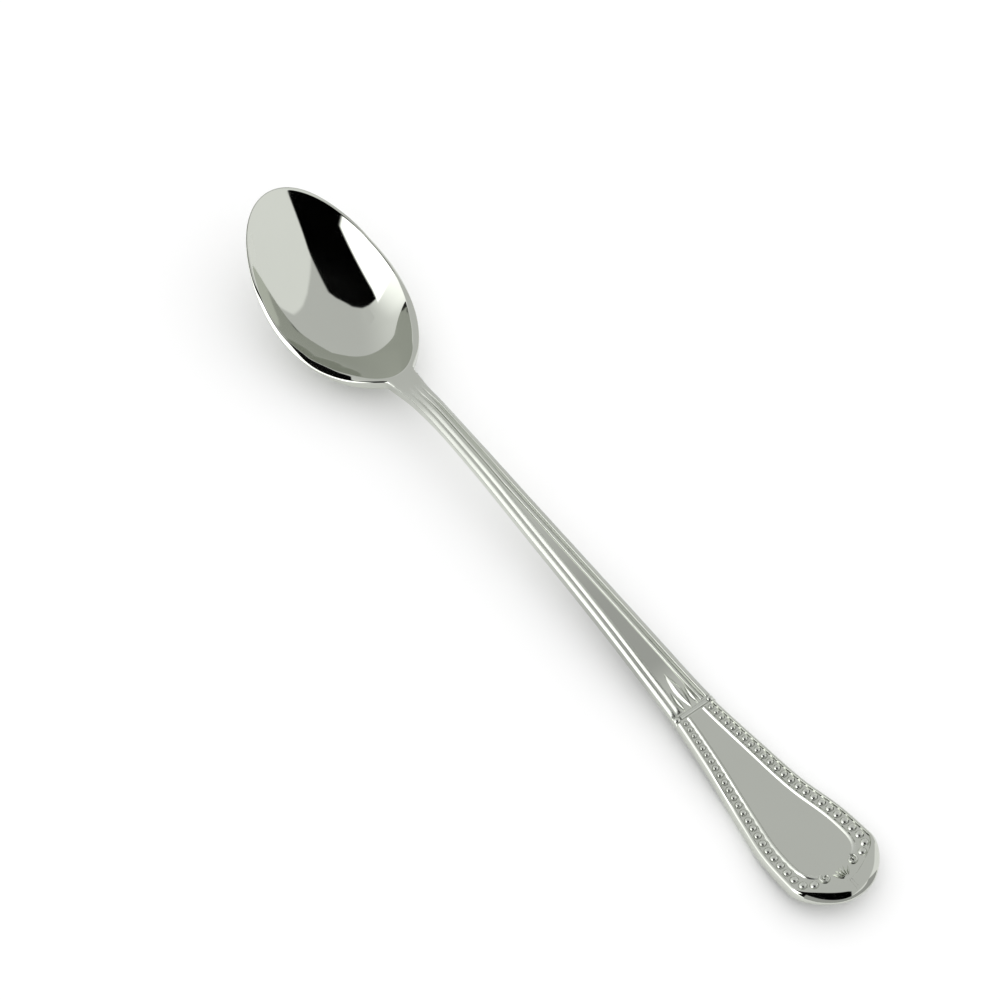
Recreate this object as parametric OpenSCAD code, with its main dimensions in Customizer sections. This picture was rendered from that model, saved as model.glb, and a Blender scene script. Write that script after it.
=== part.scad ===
// Iced tea spoon, polished steel, long slender stem with a beaded handle.
// X runs along the spoon, from the bowl's tip to the handle's end. Y runs across it, Z up out of the bowl.
// The origin is at the middle of the spoon's box, on the surface that it rests on.
// The spoon is one forging. Its solids meet face to face where its forms change.

/* [Overall] */
// Length over all
overall_length = 190; // [170:1:220]
// Depth of the flats worn under the bowl and the handle, where the spoon rests
rest_flat = 0.12; // [0.05:0.01:0.2]

/* [Bowl] */
// Length of the bowl, from its tip to the corner at the neck
bowl_length = 45.4; // [40:0.1:52]
// Width of the bowl at its widest
bowl_width = 28.9; // [25:0.1:33]
// Depth of the hollow below the rim
bowl_depth = 7; // [5:0.1:9]
// Thickness of the metal at the bottom of the bowl
bowl_wall = 1.4; // [0.9:0.1:2]
// Width of the rounded lip round the bowl
lip_width = 1.15; // [0.8:0.05:1.6]
// Height of the lip's outer edge
lip_height = 0.9; // [0.6:0.05:1.3]
// Height of the tip of the rim above the lowest part of the rim
tip_rise = 13.8; // [8:0.1:16]
// Height of the rim at mid length above its lowest part
mid_rise = 2.5; // [1.5:0.1:3.5]
// Height of the rim at the neck above its lowest part
neck_rise = 0.5; // [0:0.1:1.5]
// Length of solid metal between the hollow and the corner at the neck
heel_length = 1.3; // [0.8:0.1:2.5]

/* [Neck and stem] */
// Length of the neck from the corner to the stem
neck_length = 9; // [7:0.5:12]
// Height of the stem's shoulder above the lowest part of the rim
shoulder_rise = 1.9; // [1:0.1:3]
// Width of the stem at its narrowest
waist_width = 4.4; // [4.2:0.1:5.5]
// Width of the stem where it meets the crossbar
stem_end_width = 9.5; // [8.5:0.1:11]
// Thickness of the stem behind the neck
stem_thickness = 3.1; // [2.6:0.1:3.8]
// Height of the stem's upright side
stem_side = 1.4; // [1:0.1:2]
// Width of each raised thread along the stem
thread_width = 0.8; // [0.6:0.05:1]
// Height of each raised thread
thread_height = 0.34; // [0.2:0.02:0.5]
// Spacing of the edge thread and the inner thread
thread_pitch = 1.12; // [1.05:0.01:1.25]

/* [Handle] */
// Length of the beaded handle, from the crossbar to the end
handle_length = 50.2; // [45:0.1:55]
// Width of the handle at its widest
handle_width = 20.3; // [18:0.1:23]
// Thickness of the handle's blade
blade_thickness = 2.6; // [2.1:0.1:3.1]
// Height of the handle at the crossbar above its lowest part
crossbar_rise = 1.95; // [1:0.05:3]
// Height of the handle's end above its lowest part
end_rise = 3.75; // [1:0.05:5]
// Length of the rounded end, from the widest place to the end
end_length = 9.2; // [8:0.1:11]
// Width of the smooth border beside the beads
border_width = 0.95; // [0.8:0.05:1.1]
// Width of the smooth border at the handle's end
end_border_width = 2.6; // [2:0.1:3]
// Height of the border's crown above the blade
border_height = 0.45; // [0.3:0.05:0.7]

/* [Ornament] */
// Diameter of the first bead beside the crossbar
first_bead = 1.3; // [1.2:0.05:1.4]
// Diameter of the last bead, near the handle's end
last_bead = 2.1; // [1.8:0.05:2.3]
// Gap between two beads
bead_gap = 0.12; // [0.08:0.01:0.2]
// Share of a bead's radius that stands above the blade
bead_crown_share = 0.62; // [0.45:0.01:0.8]
// Gap between a bead and the border or the ridge beside it
bead_clearance = 0.08; // [0.06:0.01:0.12]
// Width of the ridge round the plain panel
ridge_width = 0.62; // [0.5:0.02:0.8]
// Height of the ridge round the plain panel
ridge_height = 0.4; // [0.25:0.05:0.5]
// Distance from the handle's end to the end of the plain panel
panel_end = 7; // [6.4:0.1:8]
// Width of the crossbar along the spoon
crossbar_width = 1.1; // [0.9:0.05:1.4]
// Height of the crossbar
crossbar_height = 0.5; // [0.35:0.05:0.6]
// Diameter of the stud at each end of the crossbar
stud_diameter = 1.5; // [1.3:0.05:1.7]
// Length of the middle leaf above the crossbar
leaf_length = 8; // [6:0.5:10]
// Width of the middle leaf
leaf_width = 1.7; // [1.4:0.1:1.9]
// Height of the leaves
leaf_height = 0.55; // [0.4:0.05:0.7]
// Length of the fan shell at the handle's end
shell_radius = 3.3; // [2.8:0.1:3.4]
// Height of the fan shell's lobes
shell_height = 0.5; // [0.35:0.05:0.6]
// Radius of each scroll beside the fan shell
scroll_radius = 1.1; // [0.9:0.05:1.2]
// Thickness of each scroll's coil
scroll_wire = 0.5; // [0.4:0.05:0.6]

/* [Hidden] */

steel = "#c9ccca";
steel_light = "#dfe2e0";
steel_shade = "#a9ada9";

// Places along the spoon, measured from the bowl's tip
neck_at = bowl_length + heel_length;
stem_at = neck_at + neck_length;
crossbar_at = overall_length - handle_length;
handle_at = crossbar_at + stud_diameter / 2 + bead_clearance;
thread_end_at = crossbar_at - stud_diameter / 2 - bead_clearance;
wide_at = overall_length - end_length;
stem_run = crossbar_at - stem_at;
handle_run = wide_at - crossbar_at;

// Egg outline of the bowl, as shares of its half width
egg_lean_share = 0.074;
egg_full_share = -0.042;
egg_point_share = 0.023;
egg_peak_share = 1 - egg_full_share;
// The sections of the hollow and the bowl's outside are fuller than a parabola, which has power 2
hollow_power = 2.9;
outside_power = 3.3;
// Sharpness of the fillet where the bowl's outline and heel run into the neck
corner_power = 5;
heel_power = 3;
// Fullness of the rounded back of the neck, and of the stem at the crossbar
neck_back_power = 2;
stem_back_power = 6;
// The panel's rounded corner is squarer than an oval, which has power 2
panel_corner_power = 3;
// The heel starts at this share of the bowl's length
heel_start_share = 0.55;

// Outline of the stem and the handle, as shares of their runs and of the step in width
stem_run_shares = [0.23, 0.43, 0.64, 0.83];
stem_width_shares = [0.07, 0.25, 0.45, 0.69];
handle_run_shares = [0.2, 0.39, 0.59, 0.78];
handle_width_shares = [0.18, 0.39, 0.64, 0.91];
end_square_share = 0.25;

// Side view: places as shares of the runs, heights as shares of the rises
rim_front_share = 0.24;
rim_front_rise_share = 0.52;
rim_mid_share = 0.485;
rim_low_share = 0.73;
shoulder_share = 0.145;
stem_shares = [0.4, 0.7];
stem_rise_shares = [0.76, 0.44];
handle_dip_share = 0.24;
handle_dip_rise_share = 0.56;
handle_low_share = 0.48;
end_mid_share = 0.46;
end_mid_rise_share = 0.345;

// Facets: steps round the bowl, along the stem and round the handle
bowl_steps = 60;
cut_steps = 8;
bowl_rings = 14;
neck_steps = 9;
stem_steps = 46;
back_steps = 12;
side_steps = 26;
end_steps = 18;
bead_facets = 16;

function mix(a, b, t) = a + (b - a) * t;
function clamp(t) = min(1, max(0, t));
function smooth(t) = let (c = clamp(t)) c * c * (3 - 2 * c);
function p_sum(a, b, p) = pow(pow(max(a, 0), p) + pow(max(b, 0), p), 1 / p);

// Smooth curve through a table of places and values
function rate(t, i) = (t[i + 1][1] - t[i][1]) / (t[i + 1][0] - t[i][0]);
function gap(t, i) = t[i + 1][0] - t[i][0];
function tangent(t, i) =
    i == 0 ? rate(t, 0)
    : i == len(t) - 1 ? rate(t, i - 1)
    : (gap(t, i) * rate(t, i - 1) + gap(t, i - 1) * rate(t, i)) / (gap(t, i) + gap(t, i - 1));
function span(t, x, i = 0) = i >= len(t) - 2 || x < t[i + 1][0] ? i : span(t, x, i + 1);
function curve(t, x) =
    let (i = span(t, x), g = gap(t, i), s = (x - t[i][0]) / g, a = t[i][1], b = t[i + 1][1])
    a * (1 + 2 * s) * (1 - s) * (1 - s) + g * tangent(t, i) * s * (1 - s) * (1 - s)
    + b * s * s * (3 - 2 * s) + g * tangent(t, i + 1) * s * s * (s - 1);

// Half width of the bowl's egg, for a place given as the cosine of its angle round the egg
function egg(c) = sqrt(max(0, 1 - c * c))
    * (1 + egg_lean_share * c + egg_full_share * (2 * c * c - 1) + egg_point_share * c * (4 * c * c - 3))
    / egg_peak_share;
function bowl_half(x) = bowl_width / 2 * egg(1 - 2 * clamp(x / bowl_length));
hollow_from = lip_width;
hollow_to = bowl_length - heel_length;
hollow_half_width = bowl_width / 2 - lip_width;
function hollow_half(x) =
    hollow_half_width * egg(1 - 2 * clamp((x - hollow_from) / (hollow_to - hollow_from)));

// Half width of the stem and handle, without the bowl
waist_half = waist_width / 2;
stem_end_half = stem_end_width / 2;
handle_half = handle_width / 2;
width_table = [
    [bowl_length * heel_start_share, waist_half],
    [neck_at, waist_half],
    [stem_at, waist_half],
    for (i = [0 : len(stem_run_shares) - 1])
        [stem_at + stem_run * stem_run_shares[i],
            mix(waist_half, stem_end_half, stem_width_shares[i])],
    [crossbar_at, stem_end_half],
    for (i = [0 : len(handle_run_shares) - 1])
        [crossbar_at + handle_run * handle_run_shares[i],
            mix(stem_end_half, handle_half, handle_width_shares[i])],
    [wide_at, handle_half],
    [overall_length, handle_half]];
function stem_half(x) = curve(width_table, max(x, width_table[0][0]));
function heel_fade(x) = smooth((x - bowl_length * heel_start_share) / (bowl_length * (1 - heel_start_share)));
function half_width(x) = x >= neck_at ? stem_half(x)
    : p_sum(bowl_half(x), stem_half(x) * heel_fade(x), corner_power);

// Side view: height of the rim and of the top of the stem and handle
rim_level = bowl_depth + bowl_wall;
shoulder_level = rim_level + shoulder_rise;
crossbar_level = blade_thickness + crossbar_rise;
side_table = [
    [0, rim_level + tip_rise],
    [bowl_length * rim_front_share, rim_level + tip_rise * rim_front_rise_share],
    [bowl_length * rim_mid_share, rim_level + mid_rise],
    [bowl_length * rim_low_share, rim_level],
    [bowl_length, rim_level + neck_rise],
    [stem_at, shoulder_level],
    [stem_at + stem_run * shoulder_share, shoulder_level],
    for (i = [0 : len(stem_shares) - 1])
        [stem_at + stem_run * stem_shares[i], mix(crossbar_level, shoulder_level, stem_rise_shares[i])],
    [crossbar_at, crossbar_level],
    [crossbar_at + handle_length * handle_dip_share,
        blade_thickness + crossbar_rise * handle_dip_rise_share],
    [crossbar_at + handle_length * handle_low_share, blade_thickness],
    [mix(crossbar_at + handle_length * handle_low_share, overall_length, end_mid_share),
        blade_thickness + end_rise * end_mid_rise_share],
    [overall_length, blade_thickness + end_rise]];
function top_raw(x) = curve(side_table, x);

// Depth of the hollow below the rim
function hollow_depth(x, y) =
    let (h = hollow_half(x), t = clamp((h * h - y * y) / (hollow_half_width * hollow_half_width)))
    bowl_depth * (1 - pow(1 - t, hollow_power / 2));

// Thickness of the metal below the top of the stem, and of the bowl's outside below its rim
thickness_table = [
    [bowl_length * heel_start_share, stem_thickness],
    [stem_at, stem_thickness],
    [crossbar_at, blade_thickness],
    [overall_length, blade_thickness]];
function thickness(x) = curve(thickness_table, max(x, thickness_table[0][0]));
function edge_height(x) = mix(lip_height, min(stem_side, blade_thickness / 2),
    smooth((x - bowl_length * heel_start_share) / (neck_at - bowl_length * heel_start_share)));
function back_power(x) = mix(neck_back_power, stem_back_power, smooth((x - stem_at) / stem_run));
function stem_back(x, y) =
    let (h = half_width(x), r = clamp(abs(y) / h), p = back_power(x))
    (thickness(x) - edge_height(x)) * pow(1 - pow(r, p), 1 / p);
function bowl_back(x, y) =
    let (h = half_width(x), t = clamp((h * h - y * y) * 4 / (bowl_width * bowl_width)))
    (bowl_depth + bowl_wall - lip_height) * (1 - pow(1 - t, outside_power / 2));
function back_depth(x, y) = edge_height(x)
    + (x >= neck_at ? stem_back(x, y) : p_sum(bowl_back(x, y), stem_back(x, y) * heel_fade(x), heel_power));

// The lowest point of the bowl's outside sets the height of the whole spoon
ground_samples = 80;
bowl_low = min([for (i = [1 : ground_samples - 1])
    let (x = bowl_length * i / ground_samples) top_raw(x) - back_depth(x, 0)]);
handle_low = min([for (i = [0 : ground_samples])
    let (x = mix(crossbar_at, overall_length, i / ground_samples)) top_raw(x) - blade_thickness]);
function top_height(x) = top_raw(x)
    - mix(bowl_low, handle_low, smooth((x - neck_at) / (crossbar_at - neck_at))) - rest_flat;
function grounded(z) = max(z, 0);

// Places the spoon's middle at the origin
module place() {
    translate([-overall_length / 2, 0, 0]) children();
}

// Closed skin over rings of equal length that turn from +Y over the top to -Y as they run along X.
// Its two ends are flat faces. A diagonal runs from the lower corner at the smaller X to the higher
// corner at the larger X, so two solids that share a face are cut into the same triangles.
function below(p, q) = p[1] != q[1] ? p[1] < q[1] : p[2] < q[2];
module skin(rings) {
    n = len(rings[0]);
    last = len(rings) - 1;
    points = [for (r = rings, p = r) p];
    sides = [for (i = [0 : last - 1], j = [0 : n - 1])
        let (k = (j + 1) % n, a = i * n + j, b = i * n + k, c = a + n, d = b + n,
            rising = below(rings[i][j], rings[i][k]) == (rings[i][j][0] < rings[i + 1][j][0]))
        each rising ? [[a, d, b], [a, c, d]] : [[a, c, b], [b, c, d]]];
    ends = [[for (j = [0 : n - 1]) j], [for (j = [n - 1 : -1 : 0]) last * n + j]];
    polyhedron(points = points, faces = concat(sides, ends), convexity = 6);
}

// Bowl: rings from the middle of the hollow, over the lip, to the middle of the back
bowl_mid = [bowl_length / 2, 0];
corner_angle = 152;
corner_x = bowl_length * (1 - cos(corner_angle)) / 2;
// Outline of the bowl in the plan, one side, by angle; its last stretch is the flat cut at the neck
function outer_point(a) =
    a <= corner_angle ? let (x = bowl_length * (1 - cos(a)) / 2) [x, half_width(x)]
    : let (s = (a - corner_angle) / (180 - corner_angle))
        s <= 0.5 ? let (x = mix(corner_x, neck_at, 2 * s)) [x, half_width(x)]
        : [neck_at, half_width(neck_at) * (2 - 2 * s)];
function inner_point(a) =
    let (x = mix(hollow_from, hollow_to, (1 - cos(a)) / 2)) [x, hollow_half(x)];
side_angles = concat(
    [for (i = [0 : bowl_steps / 2 - 1]) corner_angle * i / (bowl_steps / 2)],
    [for (i = [0 : cut_steps]) mix(corner_angle, 180, i / cut_steps)]);
function whole(side) = concat(side, [for (i = [len(side) - 2 : -1 : 1]) [side[i][0], -side[i][1]]]);
bowl_outline = whole([for (a = side_angles) outer_point(a)]);
hollow_outline = whole([for (a = side_angles) inner_point(a)]);
hollow_shares = [for (i = [1 : bowl_rings]) sin(90 * i / bowl_rings)];
lip_inner_share = 0.18;
lip_outer_share = 0.78;
lip_round_share = 0.12;
lip_side_share = 0.45;
edge_eps = 0.001;

function is_cut(p) = p[0] > neck_at - edge_eps;
function hollow_ring(s) = [for (p = hollow_outline)
    let (q = mix(bowl_mid, p, s))
    [q[0], q[1], top_height(q[0]) - hollow_depth(q[0], q[1])
        - (s == 1 ? lip_height * lip_round_share : 0)]];
function lip_ring(s) = [for (i = [0 : len(bowl_outline) - 1])
    let (q = mix(hollow_outline[i], bowl_outline[i], s)) [q[0], q[1], top_height(q[0])]];
function side_ring() = [for (p = bowl_outline)
    [p[0], p[1], top_height(p[0]) - (is_cut(p) ? 0 : lip_height * lip_side_share)]];
function back_ring(s) = [for (p = bowl_outline)
    let (q = mix(bowl_mid, p, s)) [q[0], q[1], grounded(top_height(q[0]) - back_depth(q[0], q[1]))]];

module bowl() {
    color(steel_light) place() {
        n = len(bowl_outline);
        rings = concat(
            [for (s = hollow_shares) hollow_ring(s)],
            [lip_ring(lip_inner_share), lip_ring(lip_outer_share), side_ring()],
            [for (i = [bowl_rings : -1 : 1]) back_ring(hollow_shares[i - 1])]);
        m = len(rings);
        tops = top_height(bowl_mid[0]);
        points = concat([for (r = rings, p = r) p],
            [[bowl_mid[0], 0, tops - hollow_depth(bowl_mid[0], 0)],
                [bowl_mid[0], 0, grounded(tops - back_depth(bowl_mid[0], 0))]]);
        sides = [for (i = [0 : m - 2], j = [0 : n - 1])
            let (k = (j + 1) % n, a = i * n + j, b = i * n + k)
            each [[a, b + n, b], [a, a + n, b + n]]];
        caps = [for (j = [0 : n - 1]) let (k = (j + 1) % n)
            each [[m * n, j, k], [m * n + 1, (m - 1) * n + k, (m - 1) * n + j]]];
        polyhedron(points = points, faces = concat(sides, caps), convexity = 8);
    }
}

// Section of the neck and stem at a place: flat top, upright sides, rounded back
function stem_section(x) =
    let (h = half_width(x), z = top_height(x), e = edge_height(x))
    concat([[x, h, z], [x, -h, z], [x, -h, z - e]],
        [for (i = [1 : back_steps - 1])
            let (y = -h * cos(180 * i / back_steps)) [x, y, grounded(z - back_depth(x, y))]],
        [[x, h, z - e]]);

module neck() {
    color(steel) place()
        skin([for (i = [0 : neck_steps]) stem_section(mix(neck_at, stem_at, i / neck_steps))]);
}

module stem() {
    color(steel) place()
        skin([for (i = [0 : stem_steps]) stem_section(mix(stem_at, handle_at, i / stem_steps))]);
}

// Rounded bead of metal along a path: rings of a low arch that stands on the top face
arch_shares = [[1, 0], [0.82, 0.55], [0.42, 0.92], [-0.42, 0.92], [-0.82, 0.55], [-1, 0]];
function arch_ring(p, across, half, rise) = [for (a = arch_shares)
    let (q = p + across * half * a[0]) [q[0], q[1], top_height(q[0]) + rise * a[1]]];

// Threads along the stem; inset is from the stem's side to the thread's middle
thread_fade_share = 0.25;
function thread_grow(x) = mix(thread_fade_share, 1, smooth((x - neck_at) / neck_length));
module thread(inset, side) {
    steps = stem_steps + neck_steps;
    start = neck_at + thread_width;
    skin([for (i = [0 : steps])
        let (x = mix(start, thread_end_at, i / steps),
            y = side * max(half_width(x) - inset, thread_width / 2 + bead_clearance))
        arch_ring([x, y], [0, 1], thread_width / 2, thread_height * thread_grow(x))]);
}
edge_inset = thread_width / 2;
inner_inset = edge_inset + thread_pitch;

module stem_edge_thread_left() {
    color(steel_light) place() thread(edge_inset, 1);
}
module stem_edge_thread_right() {
    color(steel_light) place() thread(edge_inset, -1);
}
module stem_inner_thread_left() {
    color(steel_light) place() thread(inner_inset, 1);
}
module stem_inner_thread_right() {
    color(steel_light) place() thread(inner_inset, -1);
}

// Leaf or lobe: a pointed arch that stands on the top face, from a root towards an angle
petal_steps = 8;
petal_tip_share = 0.12;
petal_full_share = 0.45;
module petal(root, angle, length, width, height) {
    dir = [cos(angle), sin(angle)];
    across = [-sin(angle), cos(angle)];
    skin([for (i = [0 : petal_steps])
        let (s = i / petal_steps,
            f = mix(petal_tip_share, 1, s < petal_full_share
                ? sin(90 * s / petal_full_share)
                : cos(90 * (s - petal_full_share) / (1 - petal_full_share))))
        arch_ring(root + dir * length * s, across, width / 2 * f, height * sqrt(f))]);
}

// Spray of three leaves that rises from the crossbar towards the bowl
side_leaf_share = 0.62;
side_leaf_angle = 10;
leaf_root = crossbar_at - crossbar_width / 2 - bead_clearance;
module leaf_spray() {
    color(steel_light) place() {
        petal([leaf_root, 0], 180, leaf_length, leaf_width, leaf_height);
        for (side = [-1, 1])
            petal([leaf_root, side * (leaf_width * (1 + side_leaf_share) / 2 + bead_clearance)],
                180 - side * side_leaf_angle, leaf_length * side_leaf_share,
                leaf_width * side_leaf_share, leaf_height);
    }
}

// Crossbar between the stem and the handle, and the stud at each of its ends
stud_y = half_width(crossbar_at) - stud_diameter / 2;
crossbar_half = stud_y - stud_diameter / 2 - bead_clearance;
module crossbar() {
    color(steel_light) place() {
        steps = 8;
        skin([for (i = [0 : steps])
            arch_ring([crossbar_at, mix(-crossbar_half, crossbar_half, i / steps)], [-1, 0],
                crossbar_width / 2, crossbar_height)]);
    }
}

// Dome that stands on the top face, tilted with it
slope_step = thread_width / 4;
function top_slope(x) = atan((top_height(x + slope_step) - top_height(x - slope_step)) / (2 * slope_step));
module dome(x, y, diameter) {
    r = diameter / 2;
    ball = r * (1 + bead_crown_share * bead_crown_share) / (2 * bead_crown_share);
    translate([x, y, top_height(x)]) rotate([0, -top_slope(x), 0])
        intersection() {
            translate([0, 0, r * bead_crown_share - ball]) sphere(r = ball, $fn = 2 * bead_facets);
            cylinder(r = r, h = r, $fn = bead_facets);
        }
}

module crossbar_studs() {
    color(steel_shade) place()
        for (side = [-1, 1]) dome(crossbar_at, side * stud_y, stud_diameter);
}

// Outline of the handle, one side, from the crossbar to the end
function end_point(a) = [wide_at + end_length * sin(a),
    handle_half * cos(a) * (1 - end_square_share * sin(a) * sin(a) * cos(a))];
side_outline = concat(
    [for (i = [0 : side_steps - 1]) let (x = mix(handle_at, wide_at, i / side_steps)) [x, stem_half(x)]],
    [for (i = [0 : end_steps]) end_point(90 * i / end_steps)]);
outline_last = len(side_outline) - 1;
// Unit direction inwards from the outline, square across at both ends
function inward(i) =
    i == 0 ? [0, -1]
    : i == outline_last ? [-1, 0]
    : let (d = side_outline[i + 1] - side_outline[i - 1]) [d[1], -d[0]] / norm(d);
// Share of the way from the border's width at the side to its width at the end
function end_share(i) = smooth((side_outline[i][0] - wide_at) / end_length);
function border_at(i) = mix(border_width, end_border_width, end_share(i));
function inset_point(i, d) = side_outline[i] + inward(i) * d;
blade_side = [for (i = [0 : outline_last]) inset_point(i, border_at(i))];
// Half width of the short straight stretch at the very end, where the two sides meet
tip_half = border_width / 4;

// Blade inside the border: flat across, with the border's inner wall as its outline
module handle_blade() {
    color(steel_light) place() {
        skin([for (i = [0 : outline_last])
            let (x = blade_side[i][0], y = max(blade_side[i][1], tip_half), z = top_height(x))
            [[x, y, z], [x, -y, z],
                [x, -y, grounded(z - blade_thickness)], [x, y, grounded(z - blade_thickness)]]]);
    }
}

// Border round the blade, a rounded rim of the blade's full thickness
// Its section is a list of shares of its width, of its height and of the blade's thickness.
border_shares = [[1, 0, 1], [0.35, 0, 1], [0.06, 0, 0.8], [0, 0, 0.5], [0.05, 0, 0.2],
    [0.22, 0.6, 0], [0.5, 1, 0], [0.8, 0.8, 0], [1, 0, 0]];
function border_ring(i, side) = [for (s = border_shares)
    let (q = inset_point(i, s[0] * border_at(i)),
        y = s[0] == 1 || i == outline_last ? max(q[1], tip_half) : q[1],
        z = top_height(q[0]))
    [q[0], side * y, grounded(z + border_height * s[1] - blade_thickness * s[2])]];
module handle_border() {
    color(steel_light) place()
        skin(concat([for (i = [0 : outline_last]) border_ring(i, 1)],
            [for (i = [outline_last : -1 : 0]) border_ring(i, -1)]));
}

// Fan shell and its scrolls: the shell's root is at the border, its lobes open towards the panel
shell_lobes = 5;
shell_spread = 36;
shell_core_share = 0.3;
shell_root = overall_length - end_border_width - bead_clearance;
scroll_place_share = 0.92;
scroll_x = shell_root - shell_radius * scroll_place_share;
scroll_y = shell_radius * sin(shell_spread) + scroll_radius + bead_clearance;
// A lobe is widest where it just clears the next lobe
shell_full_at = shell_radius * mix(shell_core_share, 1, petal_full_share);
shell_lobe_width = 2 * shell_full_at * sin(shell_spread / (shell_lobes - 1)) - bead_clearance;

// Beads grow from the crossbar to the end. A place is a share of the bead row's length.
bead_inset = [for (i = [0 : outline_last])
    border_at(i) + bead_clearance
        + mix(first_bead, last_bead, clamp((side_outline[i][0] - handle_at) / (wide_at - handle_at))) / 2];
bead_path = [for (i = [0 : outline_last]) inset_point(i, bead_inset[i])];
function run_to(path, i) = i == 0 ? 0 : run_to(path, i - 1) + norm(path[i] - path[i - 1]);
bead_runs = [for (i = [0 : outline_last]) run_to(bead_path, i)];
// The last bead stands clear of the scroll
row_stop = scroll_radius + bead_clearance + last_bead / 2;
row_length = last_bead / 2 + max([for (i = [1 : outline_last])
    min([for (j = [1 : i]) norm(bead_path[j] - [scroll_x, scroll_y])]) > row_stop ? bead_runs[i] : 0]);
mean_pitch = (first_bead + last_bead) / 2 + bead_gap;
bead_count = floor(row_length / mean_pitch);
function row_span(s, i = 0) = i >= outline_last - 1 || s < bead_runs[i + 1] ? i : row_span(s, i + 1);
function row_point(s) =
    let (i = row_span(s)) mix(bead_path[i], bead_path[i + 1], (s - bead_runs[i]) / (bead_runs[i + 1] - bead_runs[i]));
function bead_size(t) = mix(first_bead, last_bead, t);
// Length of row up to a bead's middle, for pitches that grow evenly
function bead_run(i) = let (t = (i + 0.5) / bead_count)
    row_length * (t * (first_bead + bead_gap) + t * t * (last_bead - first_bead) / 2) / mean_pitch;
function pitch_size(i) =
    let (t = (i + 0.5) / bead_count, fit = row_length / bead_count / mean_pitch)
    (bead_size(t) + bead_gap) * fit - bead_gap;
module bead_row(side) {
    for (i = [0 : bead_count - 1]) {
        p = row_point(bead_run(i));
        dome(p[0], side * p[1], min(pitch_size(i), bead_size((i + 0.5) / bead_count)));
    }
}
module bead_row_left() {
    color(steel_shade) place() bead_row(1);
}
module bead_row_right() {
    color(steel_shade) place() bead_row(-1);
}

// Ridge between the beads and the plain panel: it follows the bead row, then rounds the panel's corner
function ridge_inset(i) = bead_inset[i]
    + mix(first_bead, last_bead, clamp((side_outline[i][0] - handle_at) / (wide_at - handle_at))) / 2
    + bead_clearance + ridge_width / 2;
ridge_turn_at = wide_at - end_length / 2;
ridge_side = [for (i = [0 : side_steps]) if (side_outline[i][0] < ridge_turn_at) inset_point(i, ridge_inset(i))];
ridge_turn = ridge_side[len(ridge_side) - 1];
ridge_reach = overall_length - panel_end - ridge_turn[0];
ridge_turn_steps = 12;
ridge_turn_angle = acos(pow(scroll_y / ridge_turn[1], panel_corner_power / 2));
function ridge_corner(a) = [ridge_turn[0] + ridge_reach * pow(sin(a), 2 / panel_corner_power),
    ridge_turn[1] * pow(cos(a), 2 / panel_corner_power)];
ridge_path = concat(ridge_side,
    [for (i = [1 : ridge_turn_steps]) ridge_corner(ridge_turn_angle * i / ridge_turn_steps)]);
ridge_last = len(ridge_path) - 1;
// Unit direction along the ridge, square to the crossbar at its start
function ridge_dir(i) = i == 0 ? [1, 0]
    : let (d = ridge_path[min(i + 1, ridge_last)] - ridge_path[i - 1]) d / norm(d);
module panel_ridge(side) {
    skin([for (i = [0 : ridge_last])
        let (d = ridge_dir(i))
        arch_ring([ridge_path[i][0], side * ridge_path[i][1]], [-side * d[1], d[0]],
            ridge_width / 2, ridge_height)]);
}
module panel_ridge_left() {
    color(steel_light) place() panel_ridge(1);
}
module panel_ridge_right() {
    color(steel_light) place() panel_ridge(-1);
}

// Fan shell on the axis at the handle's end, with a scroll on each side
module tip_shell() {
    color(steel_light) place()
        for (i = [0 : shell_lobes - 1]) {
            a = 180 + shell_spread * (2 * i / (shell_lobes - 1) - 1);
            petal([shell_root, 0] + shell_radius * shell_core_share * [cos(a), sin(a)], a,
                shell_radius * (1 - shell_core_share), shell_lobe_width, shell_height);
        }
}
module tip_scrolls() {
    color(steel_shade) place()
        for (side = [-1, 1])
            translate([scroll_x, side * scroll_y, top_height(scroll_x)]) rotate([0, -top_slope(scroll_x), 0])
                difference() {
                    cylinder(r = scroll_radius, h = scroll_wire, $fn = 2 * bead_facets);
                    cylinder(r = scroll_radius - scroll_wire, h = scroll_wire, $fn = 2 * bead_facets);
                }
}

bowl();
neck();
stem();
stem_edge_thread_left();
stem_edge_thread_right();
stem_inner_thread_left();
stem_inner_thread_right();
leaf_spray();
crossbar();
crossbar_studs();
handle_blade();
handle_border();
bead_row_left();
bead_row_right();
panel_ridge_left();
panel_ridge_right();
tip_shell();
tip_scrolls();
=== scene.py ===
"""The looks of an iced tea spoon of polished steel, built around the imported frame.

Every shape of the spoon is worked out in millimetres, along it from the bowl's tip, and is turned into
metres in the frame's own axes only when its mesh is made. The spoon rests hollow side up at Z = 0.
"""

from __future__ import annotations

import logging
import math
from dataclasses import dataclass, field
from enum import Enum
from functools import cache
from typing import Callable, Sequence

import bpy
import numpy as np
from mathutils import Matrix, Vector


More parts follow.
